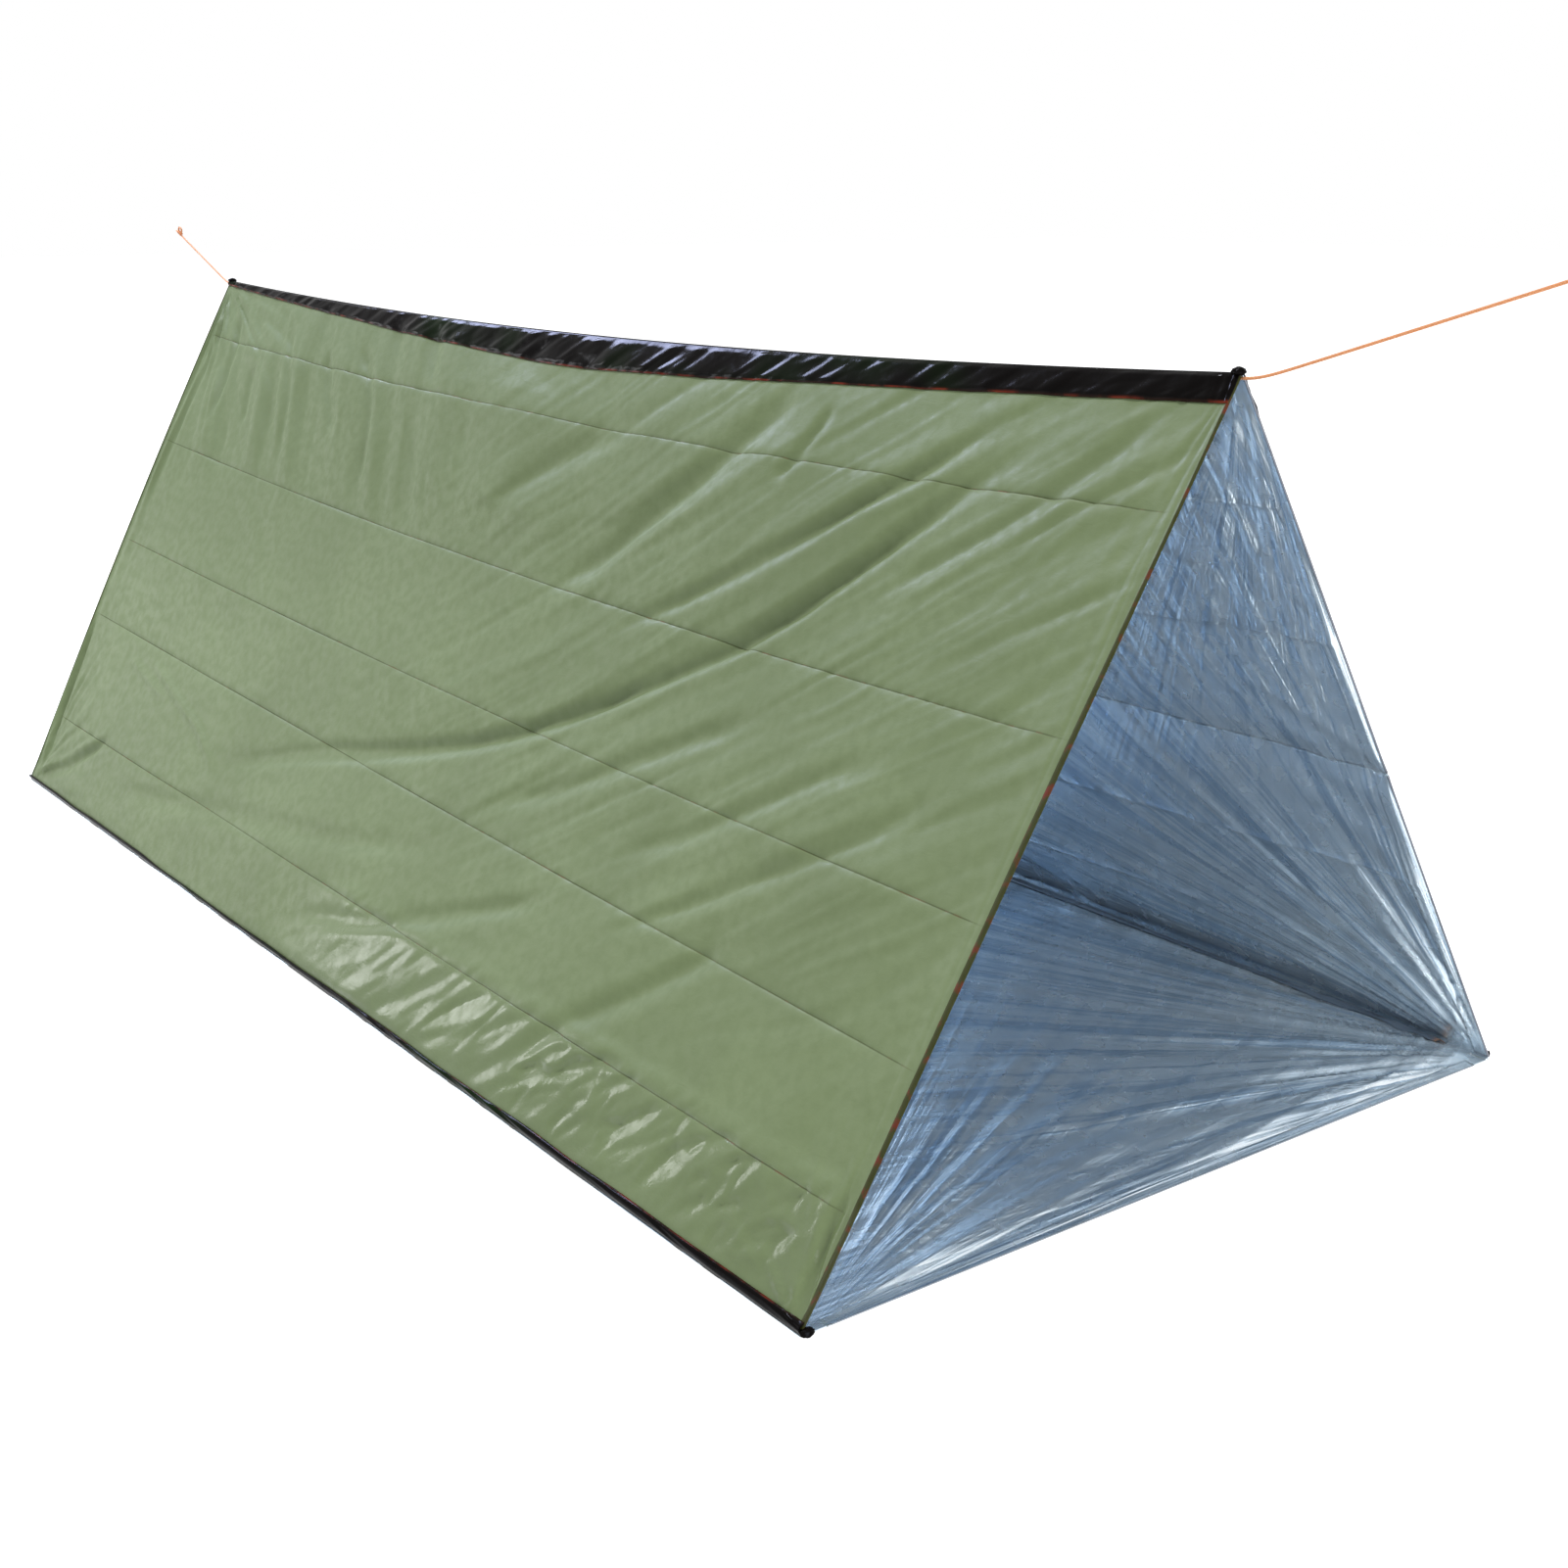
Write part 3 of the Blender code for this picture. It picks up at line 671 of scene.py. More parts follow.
def add_object(name, data, *finishes):
    """A linked object with these materials."""
    made = bpy.data.objects.new(name, data)
    bpy.context.scene.collection.objects.link(made)
    for finish in finishes:
        made.data.materials.append(finish)
    return made


def side_name(side):
    return "left" if side == LEFT else "right"


def with_curl(runs):
    """A wall's rows with three more in front, curled in under its floor fold."""
    curl = np.array([np.full(runs.shape[1], -run) for run in (film_curl, film_curl / 2, film_curl / 5)])
    return np.concatenate([curl, runs])


def sheet(name, points, film_at, materials, thickness=film, outward_turned=False):
    """A thin sheet with an outer and an inner material."""
    made = add_object(name, film_mesh(name, points, film_at, outward_turned), *materials)
    solid = made.modifiers.new("thickness", "SOLIDIFY")
    solid.thickness = thickness
    solid.offset = 0
    solid.material_offset = len(materials) - 1
    solid.material_offset_rim = len(materials) - 1
    return made


def socket(tree, target, value):
    """Links a node's output to an input, or sets the input's own value."""
    if isinstance(value, bpy.types.NodeSocket):
        tree.links.new(value, target)
    else:
        target.default_value = value


def fill(tree, node, **inputs):
    """Sets or links a node's inputs by name, with _ for a space, or by number after a _."""
    for name, value in inputs.items():
        key = int(name[1:]) if name[0] == "_" else name.replace("_", " ")
        socket(tree, node.inputs[key], value)
    return node


def add_node(tree, kind, settings=None, **inputs):
    made = tree.nodes.new(kind)
    for name, value in (settings or {}).items():
        setattr(made, name, value)
    return fill(tree, made, **inputs)


def maths(tree, operation, a, b=0.0):
    return add_node(tree, "ShaderNodeMath", {"operation": operation}, _0=a, _1=b).outputs[0]


def tint(tree, factor, low, high):
    made = add_node(tree, "ShaderNodeMix", {"data_type": "RGBA"})
    socket(tree, made.inputs["Factor"], factor)
    socket(tree, made.inputs[6], (*low, 1) if isinstance(low, tuple) else low)
    socket(tree, made.inputs[7], (*high, 1) if isinstance(high, tuple) else high)
    return made.outputs[2]


def span(tree, value, low, high, to_low, to_high):
    ends = {"From_Min": low, "From_Max": high, "To_Min": to_low, "To_Max": to_high}
    return add_node(tree, "ShaderNodeMapRange", Value=value, **ends).outputs[0]


def patchy(tree, value, low, high, first, second):
    """One colour below low and another above high."""
    return tint(tree, span(tree, value, low, high, 0, 1), first, second)


def film_place(tree, along=1.0, up=1.0, turn=0.0):
    held = add_node(tree, "ShaderNodeAttribute", {"attribute_name": "film"}).outputs["Vector"]
    shape = {"Rotation": (0, 0, math.radians(turn)), "Scale": (along, up, 0)}
    return add_node(tree, "ShaderNodeMapping", Vector=held, **shape).outputs[0]


def film_part(tree, number):
    """One number kept on the film: 0 metres along, 1 metres up, 2 share of rim, which along the left wall's
    packing creases is painted shade.
    """
    held = add_node(tree, "ShaderNodeAttribute", {"attribute_name": "film"})
    return add_node(tree, "ShaderNodeSeparateXYZ", Vector=held.outputs["Vector"]).outputs[number]


def film_rim(tree):
    """0 in the film's middle and 1 on its rim; along the left wall's packing creases it is painted shade."""
    return film_part(tree, 2)


def noise_node(tree, place, scale, detail=3.0, rough=0.5, distort=0.0):
    shape = {"Scale": scale, "Detail": detail, "Roughness": rough, "Distortion": distort}
    return add_node(tree, "ShaderNodeTexNoise", Vector=place, **shape).outputs[0]


def crumple(tree, place, scale, distort):
    """Sharp crests from noise, as crumpled film has."""
    value = noise_node(tree, place, scale, 4, 0.55, distort)
    return maths(tree, "ABSOLUTE", maths(tree, "SUBTRACT", value, 0.5))


def bump(tree, height, strength, distance, below=None):
    made = add_node(tree, "ShaderNodeBump", Height=height, Strength=strength, Distance=distance)
    if below is not None:
        tree.links.new(below, made.inputs["Normal"])
    return made.outputs[0]


def new_material(name):
    made = bpy.data.materials.new(name)
    made.use_nodes = True
    return made, made.node_tree, made.node_tree.nodes["Principled BSDF"]


def gloss_band(tree):
    """How much smoother the crinkled band under the lowest crease is."""
    along = span(tree, film_part(tree, 0), 1.05, 1.35, gloss_gain, 0)
    up = span(tree, film_part(tree, 1), 0.11, 0.13, 1, 0)
    return maths(tree, "MULTIPLY", along, up)


def green_film():
    made, tree, shader = new_material("green_film")
    place = film_place(tree)
    broad = noise_node(tree, place, 4.5, 4)
    fine = noise_node(tree, place, 60, 5)
    colour = patchy(tree, broad, 0.35, 0.65, (0.162, 0.211, 0.100), (0.189, 0.244, 0.119))
    # painted shade: darker high on the wall, more so towards the rear; the fine noise adds random darker
    # tone
    high = maths(tree, "MULTIPLY", high_part(tree), span(tree, film_part(tree, 0), 1.2, 2.1, 0.32, 0.85))
    tone_and_painted_shade = maths(tree, "ADD", span(tree, fine, 0.42, 0.62, 0, 0.35), high)
    colour = tint(tree, tone_and_painted_shade, colour, (0.146, 0.193, 0.087))
    fleck = noise_node(tree, place, 45, 3)
    rim = patchy(tree, fleck, 0.54, 0.66, (0.034, 0.038, 0.008), (0.12, 0.022, 0.010))
    # dark rim colour on the hems, and painted shade along the packing creases
    colour = tint(tree, film_rim(tree), colour, rim)
    rough = maths(tree, "SUBTRACT", span(tree, fine, 0.35, 0.65, 0.46, 0.6), gloss_band(tree))
    rough = maths(tree, "ADD", rough, maths(tree, "MULTIPLY", film_rim(tree), 0.3))
    small = bump(tree, crumple(tree, film_place(tree, 1, 1.7, 35), 34, 0.5), 0.26, 0.0022)
    tiny = bump(tree, noise_node(tree, place, 130, 3), 0.15, 0.0006, small)
    fill(tree, shader, Base_Color=colour, Roughness=rough, Normal=tiny, Specular_IOR_Level=0.22)
    return made


def ray_noise(tree, corner, count, reach):
    """Painted light and shade of streaks, as painted reflections, and their height; they spread from a
    corner at the mouth and fade out at their reach.
    """
    along = film_part(tree, 0)
    across = maths(tree, "SUBTRACT", film_part(tree, 1), corner)
    angle = maths(tree, "ARCTAN2", across, along)
    squares = maths(tree, "MULTIPLY", across, across)
    squares = maths(tree, "ADD", squares, maths(tree, "MULTIPLY", along, along))
    away = maths(tree, "SQRT", squares)
    turns, runs = maths(tree, "MULTIPLY", angle, count), maths(tree, "MULTIPLY", away, 1.5)
    place = add_node(tree, "ShaderNodeCombineXYZ", _0=turns, _1=runs)
    value = maths(tree, "SUBTRACT", noise_node(tree, place.outputs[0], 1, 2, 0.5), 0.5)
    shade = maths(tree, "MULTIPLY", value, span(tree, away, 0, reach, 1, 0))
    return shade, maths(tree, "MULTIPLY", maths(tree, "ABSOLUTE", shade), away)


def high_part(tree):
    """0 on the floor and low on the wall, 1 high on the wall, where the film hangs in fine wrinkles; it
    masks painted shade on the green film and the wrinkles' painted light and shade on the silver one.
    """
    return span(tree, film_part(tree, 1), 0.4, 0.65, 0, 1)


def mouth_shade(tree):
    """Painted light at the front mouth and painted shade deep inside."""
    return span(tree, film_part(tree, 0), 0, 0.6, 0.11, -0.02)


def silver_film():
    made, tree, shader = new_material("silver_film")
    place = film_place(tree)
    broad = noise_node(tree, place, 5, 4)
    # painted light at the front mouth and painted shade deep inside
    shade = mouth_shade(tree)
    rays = 0.0
    # the streaks paint reflections into the colour as light and shade, and give bumps
    for corner, count, reach in silver_rays:
        own_shade, own_height = ray_noise(tree, corner, count, reach)
        shade = maths(tree, "ADD", shade, own_shade)
        rays = maths(tree, "ADD", own_height, rays)
    # hanging wrinkles high on the wall: bumps, and painted light and shade in the colour
    hanging = maths(tree, "MULTIPLY", noise_node(tree, film_place(tree, 1, 0.1, -4), 95, 3), high_part(tree))
    drop = maths(tree, "SUBTRACT", hanging, maths(tree, "MULTIPLY", high_part(tree), 0.5))
    shade = maths(tree, "ADD", shade, maths(tree, "MULTIPLY", drop, 0.45))
    cloud = span(tree, broad, 0.35, 0.65, 0, 1)
    # shaded and lit tints, mixed by the painted light and shade as painted reflections; the cloud is random
    # tone
    dark = tint(tree, cloud, (0.49, 0.62, 0.76), (0.61, 0.74, 0.87))
    light = tint(tree, cloud, (0.84, 0.93, 1.0), (0.90, 0.965, 1.0))
    colour = tint(tree, span(tree, shade, -0.075, 0.075, 0, 1), dark, light)
    # dark rim colour on the hems, and painted shade along the packing creases
    colour = tint(tree, film_rim(tree), colour, (0.2, 0.21, 0.24))
    rough = span(tree, noise_node(tree, place, 30, 2), 0.35, 0.65, 0.18, 0.3)
    wide = bump(tree, noise_node(tree, film_place(tree, 1, 1.5, 20), 13, 1), 0.2, 0.004)
    drawn = bump(tree, rays, 1.0, 0.008, wide)
    drawn = bump(tree, hanging, 0.35, 0.003, drawn)
    small = bump(tree, noise_node(tree, film_place(tree, 1.6, 1, -25), 80, 1), 0.06, 0.0008, drawn)
    fill(tree, shader, Base_Color=colour, Roughness=rough, Normal=small, Metallic=0.85)
    return made


def black_strip():
    made, tree, shader = new_material("black_strip")
    place = film_place(tree)
    broad = noise_node(tree, place, 2.2, 3)
    colour = patchy(tree, broad, 0.5, 0.62, (0.0045, 0.0036, 0.003), (0.006, 0.016, 0.003))
    fleck = noise_node(tree, place, 26, 3)
    rim = patchy(tree, fleck, 0.45, 0.62, (0.02, 0.01, 0.006), (0.16, 0.026, 0.012))
    colour = tint(tree, film_rim(tree), colour, rim)
    rough = span(tree, noise_node(tree, place, 80, 4), 0.35, 0.65, 0.09, 0.2)
    small = bump(tree, crumple(tree, film_place(tree, 1, 0.6, 40), 60, 0.8), 0.25, 0.0012)
    fill(tree, shader, Base_Color=colour, Roughness=rough, Normal=small)
    fill(tree, shader, Specular_IOR_Level=0.03, Specular_Tint=(0.72, 0.78, 1.0, 1))
    return made


def steel_strip():
    made, tree, shader = new_material("steel_strip")
    place = film_place(tree)
    broad = noise_node(tree, place, 9, 3)
    colour = patchy(tree, broad, 0.35, 0.65, (0.13, 0.165, 0.21), (0.19, 0.235, 0.29))
    colour = tint(tree, film_rim(tree), colour, (0.21, 0.11, 0.06))
    rough = span(tree, broad, 0.35, 0.65, 0.3, 0.42)
    drawn = bump(tree, noise_node(tree, film_place(tree, 0.2, 1), 90, 3), 0.2, 0.001)
    fill(tree, shader, Base_Color=colour, Roughness=rough, Normal=drawn, Metallic=0.5)
    return made


def cord_finish():
    made, tree, shader = new_material("orange_cord")
    place = film_place(tree)
    fleck = noise_node(tree, place, 900, 2)
    colour = patchy(tree, fleck, 0.4, 0.62, (0.72, 0.23, 0.065), (0.86, 0.42, 0.19))
    rough = span(tree, fleck, 0.3, 0.7, 0.6, 0.85)
    woven = bump(tree, fleck, 0.35, 0.0002)
    fill(tree, shader, Base_Color=colour, Roughness=rough, Normal=woven, Sheen_Weight=0.25)
    return made


def floor_finish():
    made, tree, shader = new_material("studio_floor")
    place = add_node(tree, "ShaderNodeTexCoord").outputs["Object"]
    patch = noise_node(tree, place, 0.8, 2)
    colour = tint(tree, patch, (0.73, 0.73, 0.73), (0.77, 0.77, 0.77))
    path = add_node(tree, "ShaderNodeLightPath")
    seen = maths(tree, "MAXIMUM", path.outputs["Is Camera Ray"], path.outputs["Is Glossy Ray"])
    glow = maths(tree, "MULTIPLY", seen, 0.84)
    fill(tree, shader, Base_Color=colour, Roughness=0.9, Specular_IOR_Level=0.1)
    fill(tree, shader, Emission_Color=(1, 1, 1, 1), Emission_Strength=glow)
    return made


def studio():
    """A pale floor, a white background and soft lamps."""
    data = bpy.data.meshes.new("studio_floor")
    cage = bmesh.new()
    bmesh.ops.create_grid(cage, x_segments=2, y_segments=2, size=studio_half_width)
    cage.to_mesh(data)
    cage.free()
    ground = add_object("studio_floor", data, floor_finish())
    ground.location.z = studio_floor_z

    world = bpy.data.worlds.new("studio")
    world.use_nodes = True
    tree = world.node_tree
    sky = tree.nodes["Background"]
    path = add_node(tree, "ShaderNodeLightPath")
    seen = maths(tree, "MAXIMUM", path.outputs["Is Camera Ray"], path.outputs["Is Glossy Ray"])
    seen = maths(tree, "MAXIMUM", seen, path.outputs["Is Transmission Ray"])
    fill(tree, sky, Color=tint(tree, seen, (0.28, 0.29, 0.305), (1.0, 1.0, 1.0)), Strength=1)
    bpy.context.scene.world = world

    for name, place, aim, size, power, colour in lamps:
        data = bpy.data.lights.new(name, "AREA")
        data.color = colour
        data.shape = "DISK"
        data.size = size
        data.energy = power
        lamp = add_object(name, data)
        lamp.location = place
        lamp.rotation_euler = (Vector(aim) - Vector(place)).to_track_quat("-Z", "Y").to_euler()
    bpy.context.scene.view_settings.view_transform = "Standard"


def camera():
    data = bpy.data.cameras.new("camera")
    data.lens = camera_lens
    data.sensor_width = camera_sensor
    made = add_object("camera", data)
    made.location = camera_place
    made.rotation_euler = (math.radians(90 - camera_dip), 0, math.radians(camera_turn))
    bpy.context.scene.camera = made


# Routes of the cord's free stretches: distance out from the mouth and rise above the cord there
front_route = (
    (0.0003, 0.0), (0.012, 0.0009), (0.026, 0.0034), (0.045, 0.0085),
    (0.08, 0.0194), (0.17, 0.0481), (0.27, 0.0801), (0.346, 0.1045),
)
rear_route = (
    (0.0003, 0.0), (0.012, 0.0011), (0.026, 0.0045), (0.045, 0.0109),
    (0.08, 0.024), (0.16, 0.054), (0.232, 0.081),
)

# Knots, as in the solids
knot_twist_radius = 0.002
knot_half_width = 0.0075
knot_loop_height = 0.008
knot_lead = 0.006
knot_tail = 0.012
knot_twist_steps = 12
knot_loop_steps = 8
loop_start_share = 0.3
loop_middle_share = 0.5
loop_radius_share = 0.62
braid_depth = 0.00016
braid_pitch = 0.0052
cord_ring_step = 0.0009
cord_sides = 16


def even_points(points, step):
    """Points at even steps along a line of points."""
    points = np.array(points, float)
    lengths = np.linalg.norm(np.diff(points, axis=0), axis=1)
    travelled = np.concatenate([[0], np.cumsum(lengths)])
    count = max(round(travelled[-1] / step), 2)
    places = np.linspace(0, travelled[-1], count + 1)
    return np.stack([np.interp(places, travelled, points[:, axis]) for axis in range(3)], axis=1)


def close_mesh(mesh):
    """Joins a rolled-up grid's seam and fills its ends."""
    cage = bmesh.new()
    cage.from_mesh(mesh)
    bmesh.ops.remove_doubles(cage, verts=cage.verts, dist=1e-6)
    bmesh.ops.holes_fill(cage, edges=[edge for edge in cage.edges if edge.is_boundary])
    bmesh.ops.recalc_face_normals(cage, faces=cage.faces)
    cage.to_mesh(mesh)
    cage.free()
    mesh.shade_smooth()


def braided_tube(name, route, finish):
    """A braided cord along a line of points, closed and rounded at both ends."""
    points = even_points(route, cord_ring_step)
    ahead = np.gradient(points, axis=0)
    ahead /= np.linalg.norm(ahead, axis=1)[:, None]
    side = np.cross(ahead[0], (1.0, 0, 0))
    around = np.linspace(0, 2 * math.pi, cord_sides + 1)
    rings = []
    held = []
    last = len(points) - 1
    for number, (place, onward) in enumerate(zip(points, ahead)):
        side = side - onward * side.dot(onward)
        side /= np.linalg.norm(side)
        other = np.cross(onward, side)
        travelled = number * cord_ring_step
        one = np.abs(np.cos(2 * around + travelled / braid_pitch * math.pi))
        two = np.abs(np.cos(2 * around - travelled / braid_pitch * math.pi))
        radius = cord_diameter / 2 - braid_depth + braid_depth * 1.6 * np.maximum(one, two)
        end = min(number, last - number)
        radius = radius * (0.35, 0.8)[end] if end < 2 else radius
        spoke = np.cos(around)[:, None] * side + np.sin(around)[:, None] * other
        rings.append(place + spoke * radius[:, None])
        held.append(point(travelled, around * cord_diameter / 2, 0.0))
    mesh = film_mesh(name, np.array(rings), np.array(held), False)
    close_mesh(mesh)
    made = add_object(name, mesh, finish)
    return made


def knot_points(start, onward):
    """The route of an overhand knot, as in the solids."""
    across = Vector((1, 0, 0))
    above = across.cross(onward)
    middle = start + onward * (knot_lead + knot_half_width) + above * knot_twist_radius

    def place(along, up, out):
        return middle + onward * along + above * up + across * out

    def wound(first_angle):
        turned = []
        for step in range(knot_twist_steps + 1):
            share = step / knot_twist_steps
            angle = first_angle + 3 * math.pi * share
            up, out = knot_twist_radius * math.cos(angle), knot_twist_radius * math.sin(angle)
            turned.append(place(mix(-knot_half_width, knot_half_width, share), up, out))
        return turned

    loop = []
    for step in range(1, knot_loop_steps):
        angle = math.pi * mix(-loop_start_share, 1 + loop_start_share, step / knot_loop_steps)
        rise = knot_loop_height * (loop_middle_share + loop_radius_share * math.sin(angle))
        loop.append(place(knot_half_width * math.cos(angle), knot_twist_radius + rise, 0))
    last = place(knot_half_width + knot_tail, -knot_twist_radius, 0)
    return [start, *wound(math.pi), *loop, *wound(0), last]


def cords(finish):
    start_z = ridge_height - cord_drop
    for end, mouth_y, way, route in (
        ("front", front_y, -1, front_route),
        ("rear", rear_ridge_y, 1, rear_route),
    ):
        start = np.array((0, mouth_y, start_z))
        line = curve_route([start + np.array((0, way * out, up)) for out, up in route])
        guy = braided_tube(f"{end}_cord", line, finish)
        onward = Vector(line[-1] - line[-2]).normalized()
        tied = curve_route([tuple(p) for p in knot_points(Vector(line[-1]) + onward * mouth_gap, onward)])
        knot = braided_tube(f"{end}_knot", tied, finish)
        for piece in (guy, knot):
            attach(piece, "left_wall")
        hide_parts(f"{end}_guy_cord")
        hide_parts(f"{end}_cord_knot")
    y = np.linspace(front_y, rear_ridge_y, 120)
    inside = braided_tube("cord_in_ridge", point(0 * y, y, ridge_z(y) - cord_drop), finish)
    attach(inside, "left_wall")
    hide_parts("ridge_cord")


def pass_on(made, side, bodies, runs):
    """Bakes a film's place in the world into its mesh."""
    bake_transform(made)


def left_film(outer, inner):
    shares = column_shares(left_step, left_step)
    runs = with_curl(row_runs(shares, left_creases, 0, wall_run - ridge_gap, left_step))
    u = np.broadcast_to(shares, runs.shape)
    places = wall_surface(LEFT, u, runs)
    # the third number paints shade along the packing creases
    film_at = point(u * ridge_length, runs, crease_shade(u, runs, left_creases))
    made = sheet("left_film", places, film_at, (outer, inner), outward_turned=True)
    pass_on(made, LEFT, *left_shared)
    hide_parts("left_wall")


def right_films(outer, inner):
    shares = column_shares(inside_step, far_step)
    low_runs = with_curl(row_runs(shares, right_lower_creases, 0, crease_run - crease_gap, inside_step))
    low, high = crease_run + crease_gap, wall_run - ridge_gap
    high_runs = row_runs(shares, right_upper_creases, low, high, inside_step)
    for name, runs, shared, width in (
        ("right_film_lower", low_runs, lower_shared, crease_run),
        ("right_film_upper", high_runs, upper_shared, upper_run),
    ):
        u = np.broadcast_to(shares, runs.shape)
        places, film_at = wall_surface(RIGHT, u, runs), point(u * ridge_length, runs, 0.0)
        made = sheet(name, places, film_at, (outer, inner))
        pass_on(made, RIGHT, *shared)
        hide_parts(name.replace("film", "wall"))


def floor_film(outer, inner):
    half = floor_width / 2
    u, x = np.meshgrid(
        column_shares(inside_step, far_step, floor_length),
        np.linspace(-half - floor_overlap, half, round(floor_width / inside_step)),
    )
    y = mix(front_y, rear_floor_y, u)
    places, film_at = point(x, y, floor_lift(u, x)), point(u * floor_length, x - half, 0.0)
    made = sheet("floor_film", places, film_at, (outer, inner))
    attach(made, "floor")
    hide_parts("floor_panel")


def near_side_width(u):
    places = np.linspace(0, 1, len(near_side_shares))
    return ridge_strip_width * np.interp(u, places, near_side_shares)


def cover(side, part, places, film_at, outward_turned, body, finish):
    """A strip's thin sheet, in place of its solid."""
    name = f"{side_name(side)}_{part}"
    made = sheet(f"{name}_cover", places, film_at, (finish,), strip, outward_turned)
    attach(made, body)
    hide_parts(f"{name}_strip")


def ridge_strip(side, finish):
    """One half of the black strip over the ridge, with its red-brown lower rim."""
    rows = [*np.linspace(0, 0.93, 21), 0.955, 0.98, 1]
    u, t = np.meshgrid(column_shares(ridge_strip_step, ridge_strip_step), rows)
    width = near_side_width(u)
    if side == RIGHT:
        width = ridge_strip_width - width
    width = width * (1 + 0.07 * (noise(u * 13, side + 2.5, 71) - 0.5))
    x = u * ridge_length
    s = wall_run - ridge_gap - t * width
    folds = 1.3 * slanted_facets(x, s, -40, 0.06, 0.012, 72) + 0.5 * streaks(x, s, -22, 0.2, 0.02, 73)
    gathers = streaks(x, s, 86, 0.06, 0.006, 74) * np.exp(-x / 0.03)
    edges = smooth(t / 0.2) * smooth((1 - t) / 0.15)
    out = strip_skin + strip_relief * edges * (0.5 + 0.8 * folds + 1.6 * gathers)
    out = np.maximum(out, strip_skin * ridge_strip_low_share)
    rim = smooth((t * width - width + ridge_rim_width) / ridge_rim_softness)
    body = "left_wall" if side == LEFT else "right_wall_upper"
    cover(side, "ridge", wall_surface(side, u, s, out), point(x, s, rim), side == LEFT, body, finish)


def edge_strip(side, finish):
    """The black strip outside a floor fold, rounded and wrinkled, with its reddish upper rim."""
    u, t = np.meshgrid(column_shares(strip_step, strip_step), np.linspace(0, 1, 12))
    x = u * ridge_length
    height = mix(edge_strip_front, edge_strip_rear, smooth(u * 1.6))
    height = height * (1 + 0.5 * (noise(x / 0.11, side + 2.5, 81) - 0.5))
    s = mix(height, edge_strip_foot, t)
    folds = 0.5 + streaks(x, s, 4, 0.12, 0.006, 82)
    bulge = np.sin(math.pi * np.clip(t, 0, 1) ** 0.8) * edge_strip_bulge
    out = strip_skin + bulge * (0.75 + 0.5 * folds) + strip_relief * 0.3 * folds
    places = wall_surface(side, u, s, out)
    if side == LEFT:
        under = places[-1:].copy()
        under[..., 0] += edge_strip_tuck * 0.4
        under[..., 2] = strip / 2 + edge_strip_rest
        tucked = under.copy()
        tucked[..., 0] += edge_strip_tuck
        places = np.concatenate([places, under, tucked])
        x, s, t = (np.concatenate([grid, grid[-1:], grid[-1:]]) for grid in (x, s, t))
    rim = smooth((0.16 - t) / 0.05) * smooth((0.5 - u[:1]) / 0.4)
    body = "floor" if side == LEFT else "right_wall_lower"
    cover(side, "edge", places, point(x, s, rim * edge_rim_strength), side == LEFT, body, finish)


def lump(name, middle, size, body, finish):
    """An end of a strip, folded under as a rounded lump."""
    turn, rise = np.meshgrid(np.linspace(0, 2 * math.pi, 37), np.linspace(-math.pi / 2, math.pi / 2, 19))
    swell = 1 + lump_swell * (noise(3 * np.cos(turn) + 5, 3 * np.sin(turn) + 2.5 * rise + 5, 91) - 0.5)
    unit = point(np.cos(rise) * np.cos(turn), np.cos(rise) * np.sin(turn), np.sin(rise))
    places = np.array(middle) + unit * np.array(size) * swell[..., None]
    mesh = film_mesh(name, places, point(turn * 0.01, rise * 0.01, 0.0), False)
    close_mesh(mesh)
    made = add_object(name, mesh, finish)
    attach(made, body)


def lumps(finish):
    lump("corner_lump", corner_lump_place, corner_lump, "floor", finish)
    for end, mouth_y, way in (("front", front_y, 1), ("rear", rear_ridge_y, -1)):
        middle = (0, mouth_y + way * apex_lump_inset, ridge_height + apex_lump_rise)
        lump(f"{end}_apex_lump", middle, apex_lump, "left_wall", finish)


def inner_strip(side, finish):
    """The dark strip inside along a floor fold. It stops short of the front mouth with a rusty tip."""
    shares = column_shares(strip_step, strip_step, floor_length)
    u, t = np.meshgrid(shares[shares * floor_length > inner_strip_setback], np.linspace(0, 1, 9))
    shown = side == RIGHT
    inset = inner_strip_inset if shown else hidden_strip_inset
    x = side * (floor_width / 2 - inset - t * (inner_strip_width if shown else hidden_strip_width))
    y = u * floor_length
    x = x + inner_strip_sway * (noise(y / 0.12, side + 2.5, 95) - 0.5)
    folds = 0.5 + streaks(y, x, 3, 0.2, 0.008, 96)
    relief = strip_relief * np.sin(math.pi * t) * (0.6 + 0.8 * folds)
    lift = floor_lift(u, x) + (strip_skin + relief if shown else hidden_strip_skin)
    tip = smooth((inner_strip_setback + inner_tip - y) / inner_tip_softness)
    places = point(x, mix(front_y, rear_floor_y, u), lift)
    cover(side, "inner", places, point(y, x, tip), side == RIGHT, "floor", finish)


def hem_section(width):
    """Distance in from the mouth, way out from the film and share of rim across a hem."""
    turn = np.linspace(math.pi / 2, 3 * math.pi / 2, 7)
    rounded = [(hem_turn * math.cos(angle), hem_skin * math.sin(angle), 1) for angle in turn]
    inner = [(away, -hem_skin, 0) for away in np.linspace(hem_turn, width, 7)]
    face = [(hem_face, hem_skin * hem_border_share, 1), (hem_face / 2, hem_skin, 1)]
    return np.array([*face, *rounded, *inner])


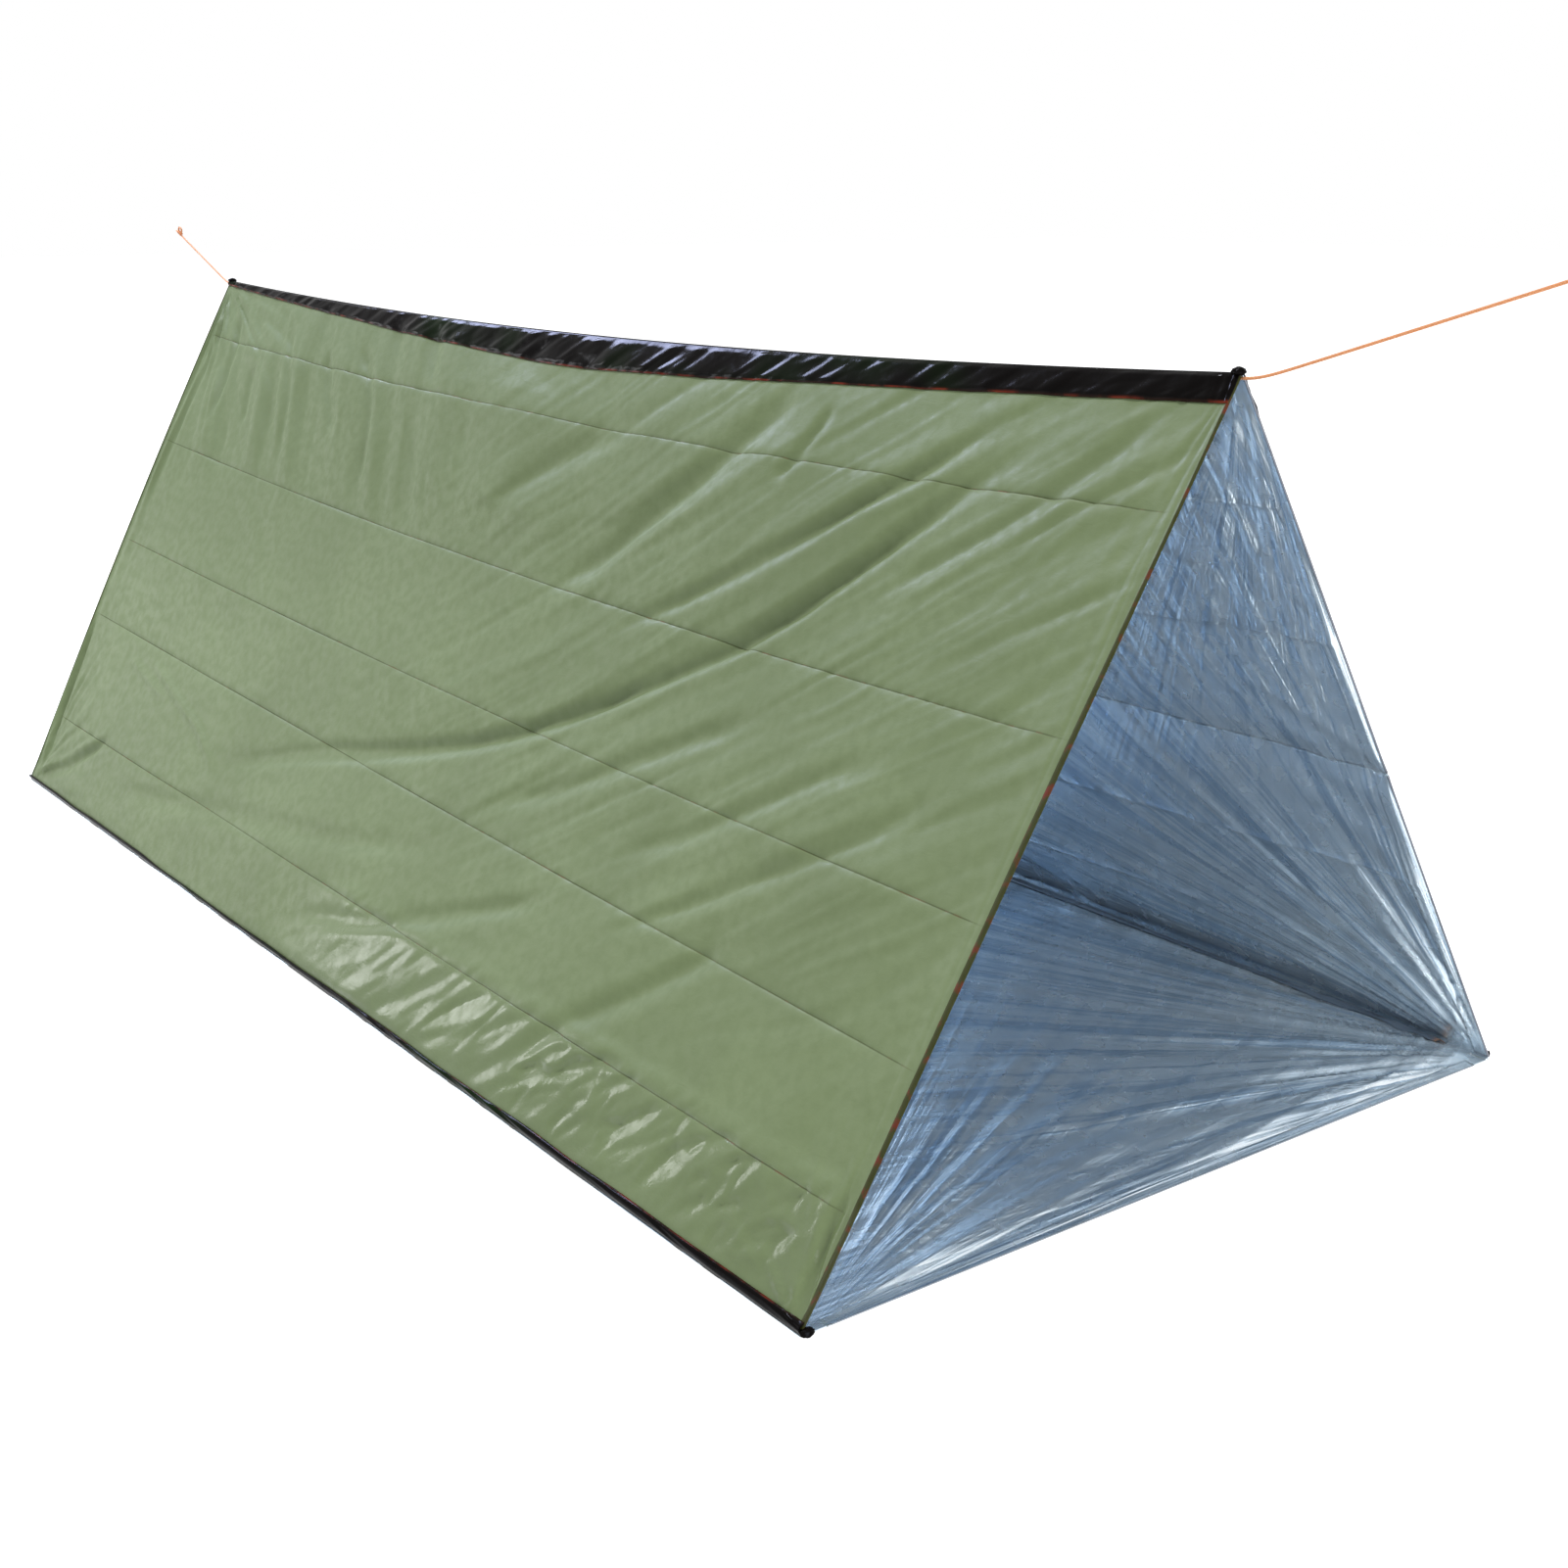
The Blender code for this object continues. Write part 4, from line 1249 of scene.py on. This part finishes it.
def wall_hem(side, at_front, piece, ends, shared, finish):
    away, out, rim = hem_section(hem_width).T
    s = np.linspace(*ends, hem_rows)[:, None]
    narrow = mix(1, hem_top_share, smooth((s / wall_run - 0.55) / 0.35))
    narrow = narrow if at_front else narrow * rear_hem_share
    share = np.where(out > 0, away * narrow, away) / ridge_length
    u, s = np.broadcast_arrays(share if at_front else 1 - share, s)
    end, rim_share = ("front", 1) if at_front else ("rear", rear_rim_share)
    places, film_at = wall_surface(side, u, s, out), point(u * ridge_length, s, rim * rim_share)
    thickness, outward_turned = film * hem_film_share, (side == RIGHT) == at_front
    made = sheet(f"{end}_edge_{piece}", places, film_at, (finish,), thickness, outward_turned)
    pass_on(made, side, *shared)
    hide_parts(f"{end}_hem_{piece}")


def floor_hem(at_front, finish):
    away, out, rim = hem_section(floor_hem_width)[1:].T
    share = away / floor_length
    u = (share if at_front else 1 - share)[:, None]
    x = np.linspace(-1, 1, floor_hem_columns)[None, :] * (floor_width / 2 - floor_hem_start)
    u, x = np.broadcast_arrays(u, x)
    lift = floor_lift(np.clip(u, 0, 1), x) + np.maximum(-out, 0)[:, None] * floor_hem_skin_share
    end = "front" if at_front else "rear"
    places = point(x, mix(front_y, rear_floor_y, u), lift)
    film_at = point(u * floor_length, x - floor_width / 2, rim[:, None] * floor_rim_strength)
    thickness = strip * floor_hem_strip_share
    made = sheet(f"{end}_edge_floor", places, film_at, (finish,), thickness, not at_front)
    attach(made, "floor")
    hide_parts(f"{end}_hem_floor")


def hems(outer, inner):
    top = wall_run - wall_hem_stop
    below, above = crease_run - wall_hem_stop / 2, crease_run + wall_hem_stop / 2
    for at_front in (True, False):
        wall_hem(LEFT, at_front, "left_wall", (wall_hem_start, top), left_shared, outer)
        wall_hem(RIGHT, at_front, "right_wall_lower", (wall_hem_start, below), lower_shared, inner)
        wall_hem(RIGHT, at_front, "right_wall_upper", (above, top), upper_shared, inner)
        floor_hem(at_front, inner)


camera()
studio()
green = green_film()
silver = silver_film()
black = black_strip()
steel = steel_strip()
orange = cord_finish()
cords(orange)
left_film(green, silver)
right_films(green, silver)
floor_film(green, silver)
hems(green, silver)
lumps(black)
for side in (LEFT, RIGHT):
    ridge_strip(side, black)
    edge_strip(side, black)
    inner_strip(side, steel)
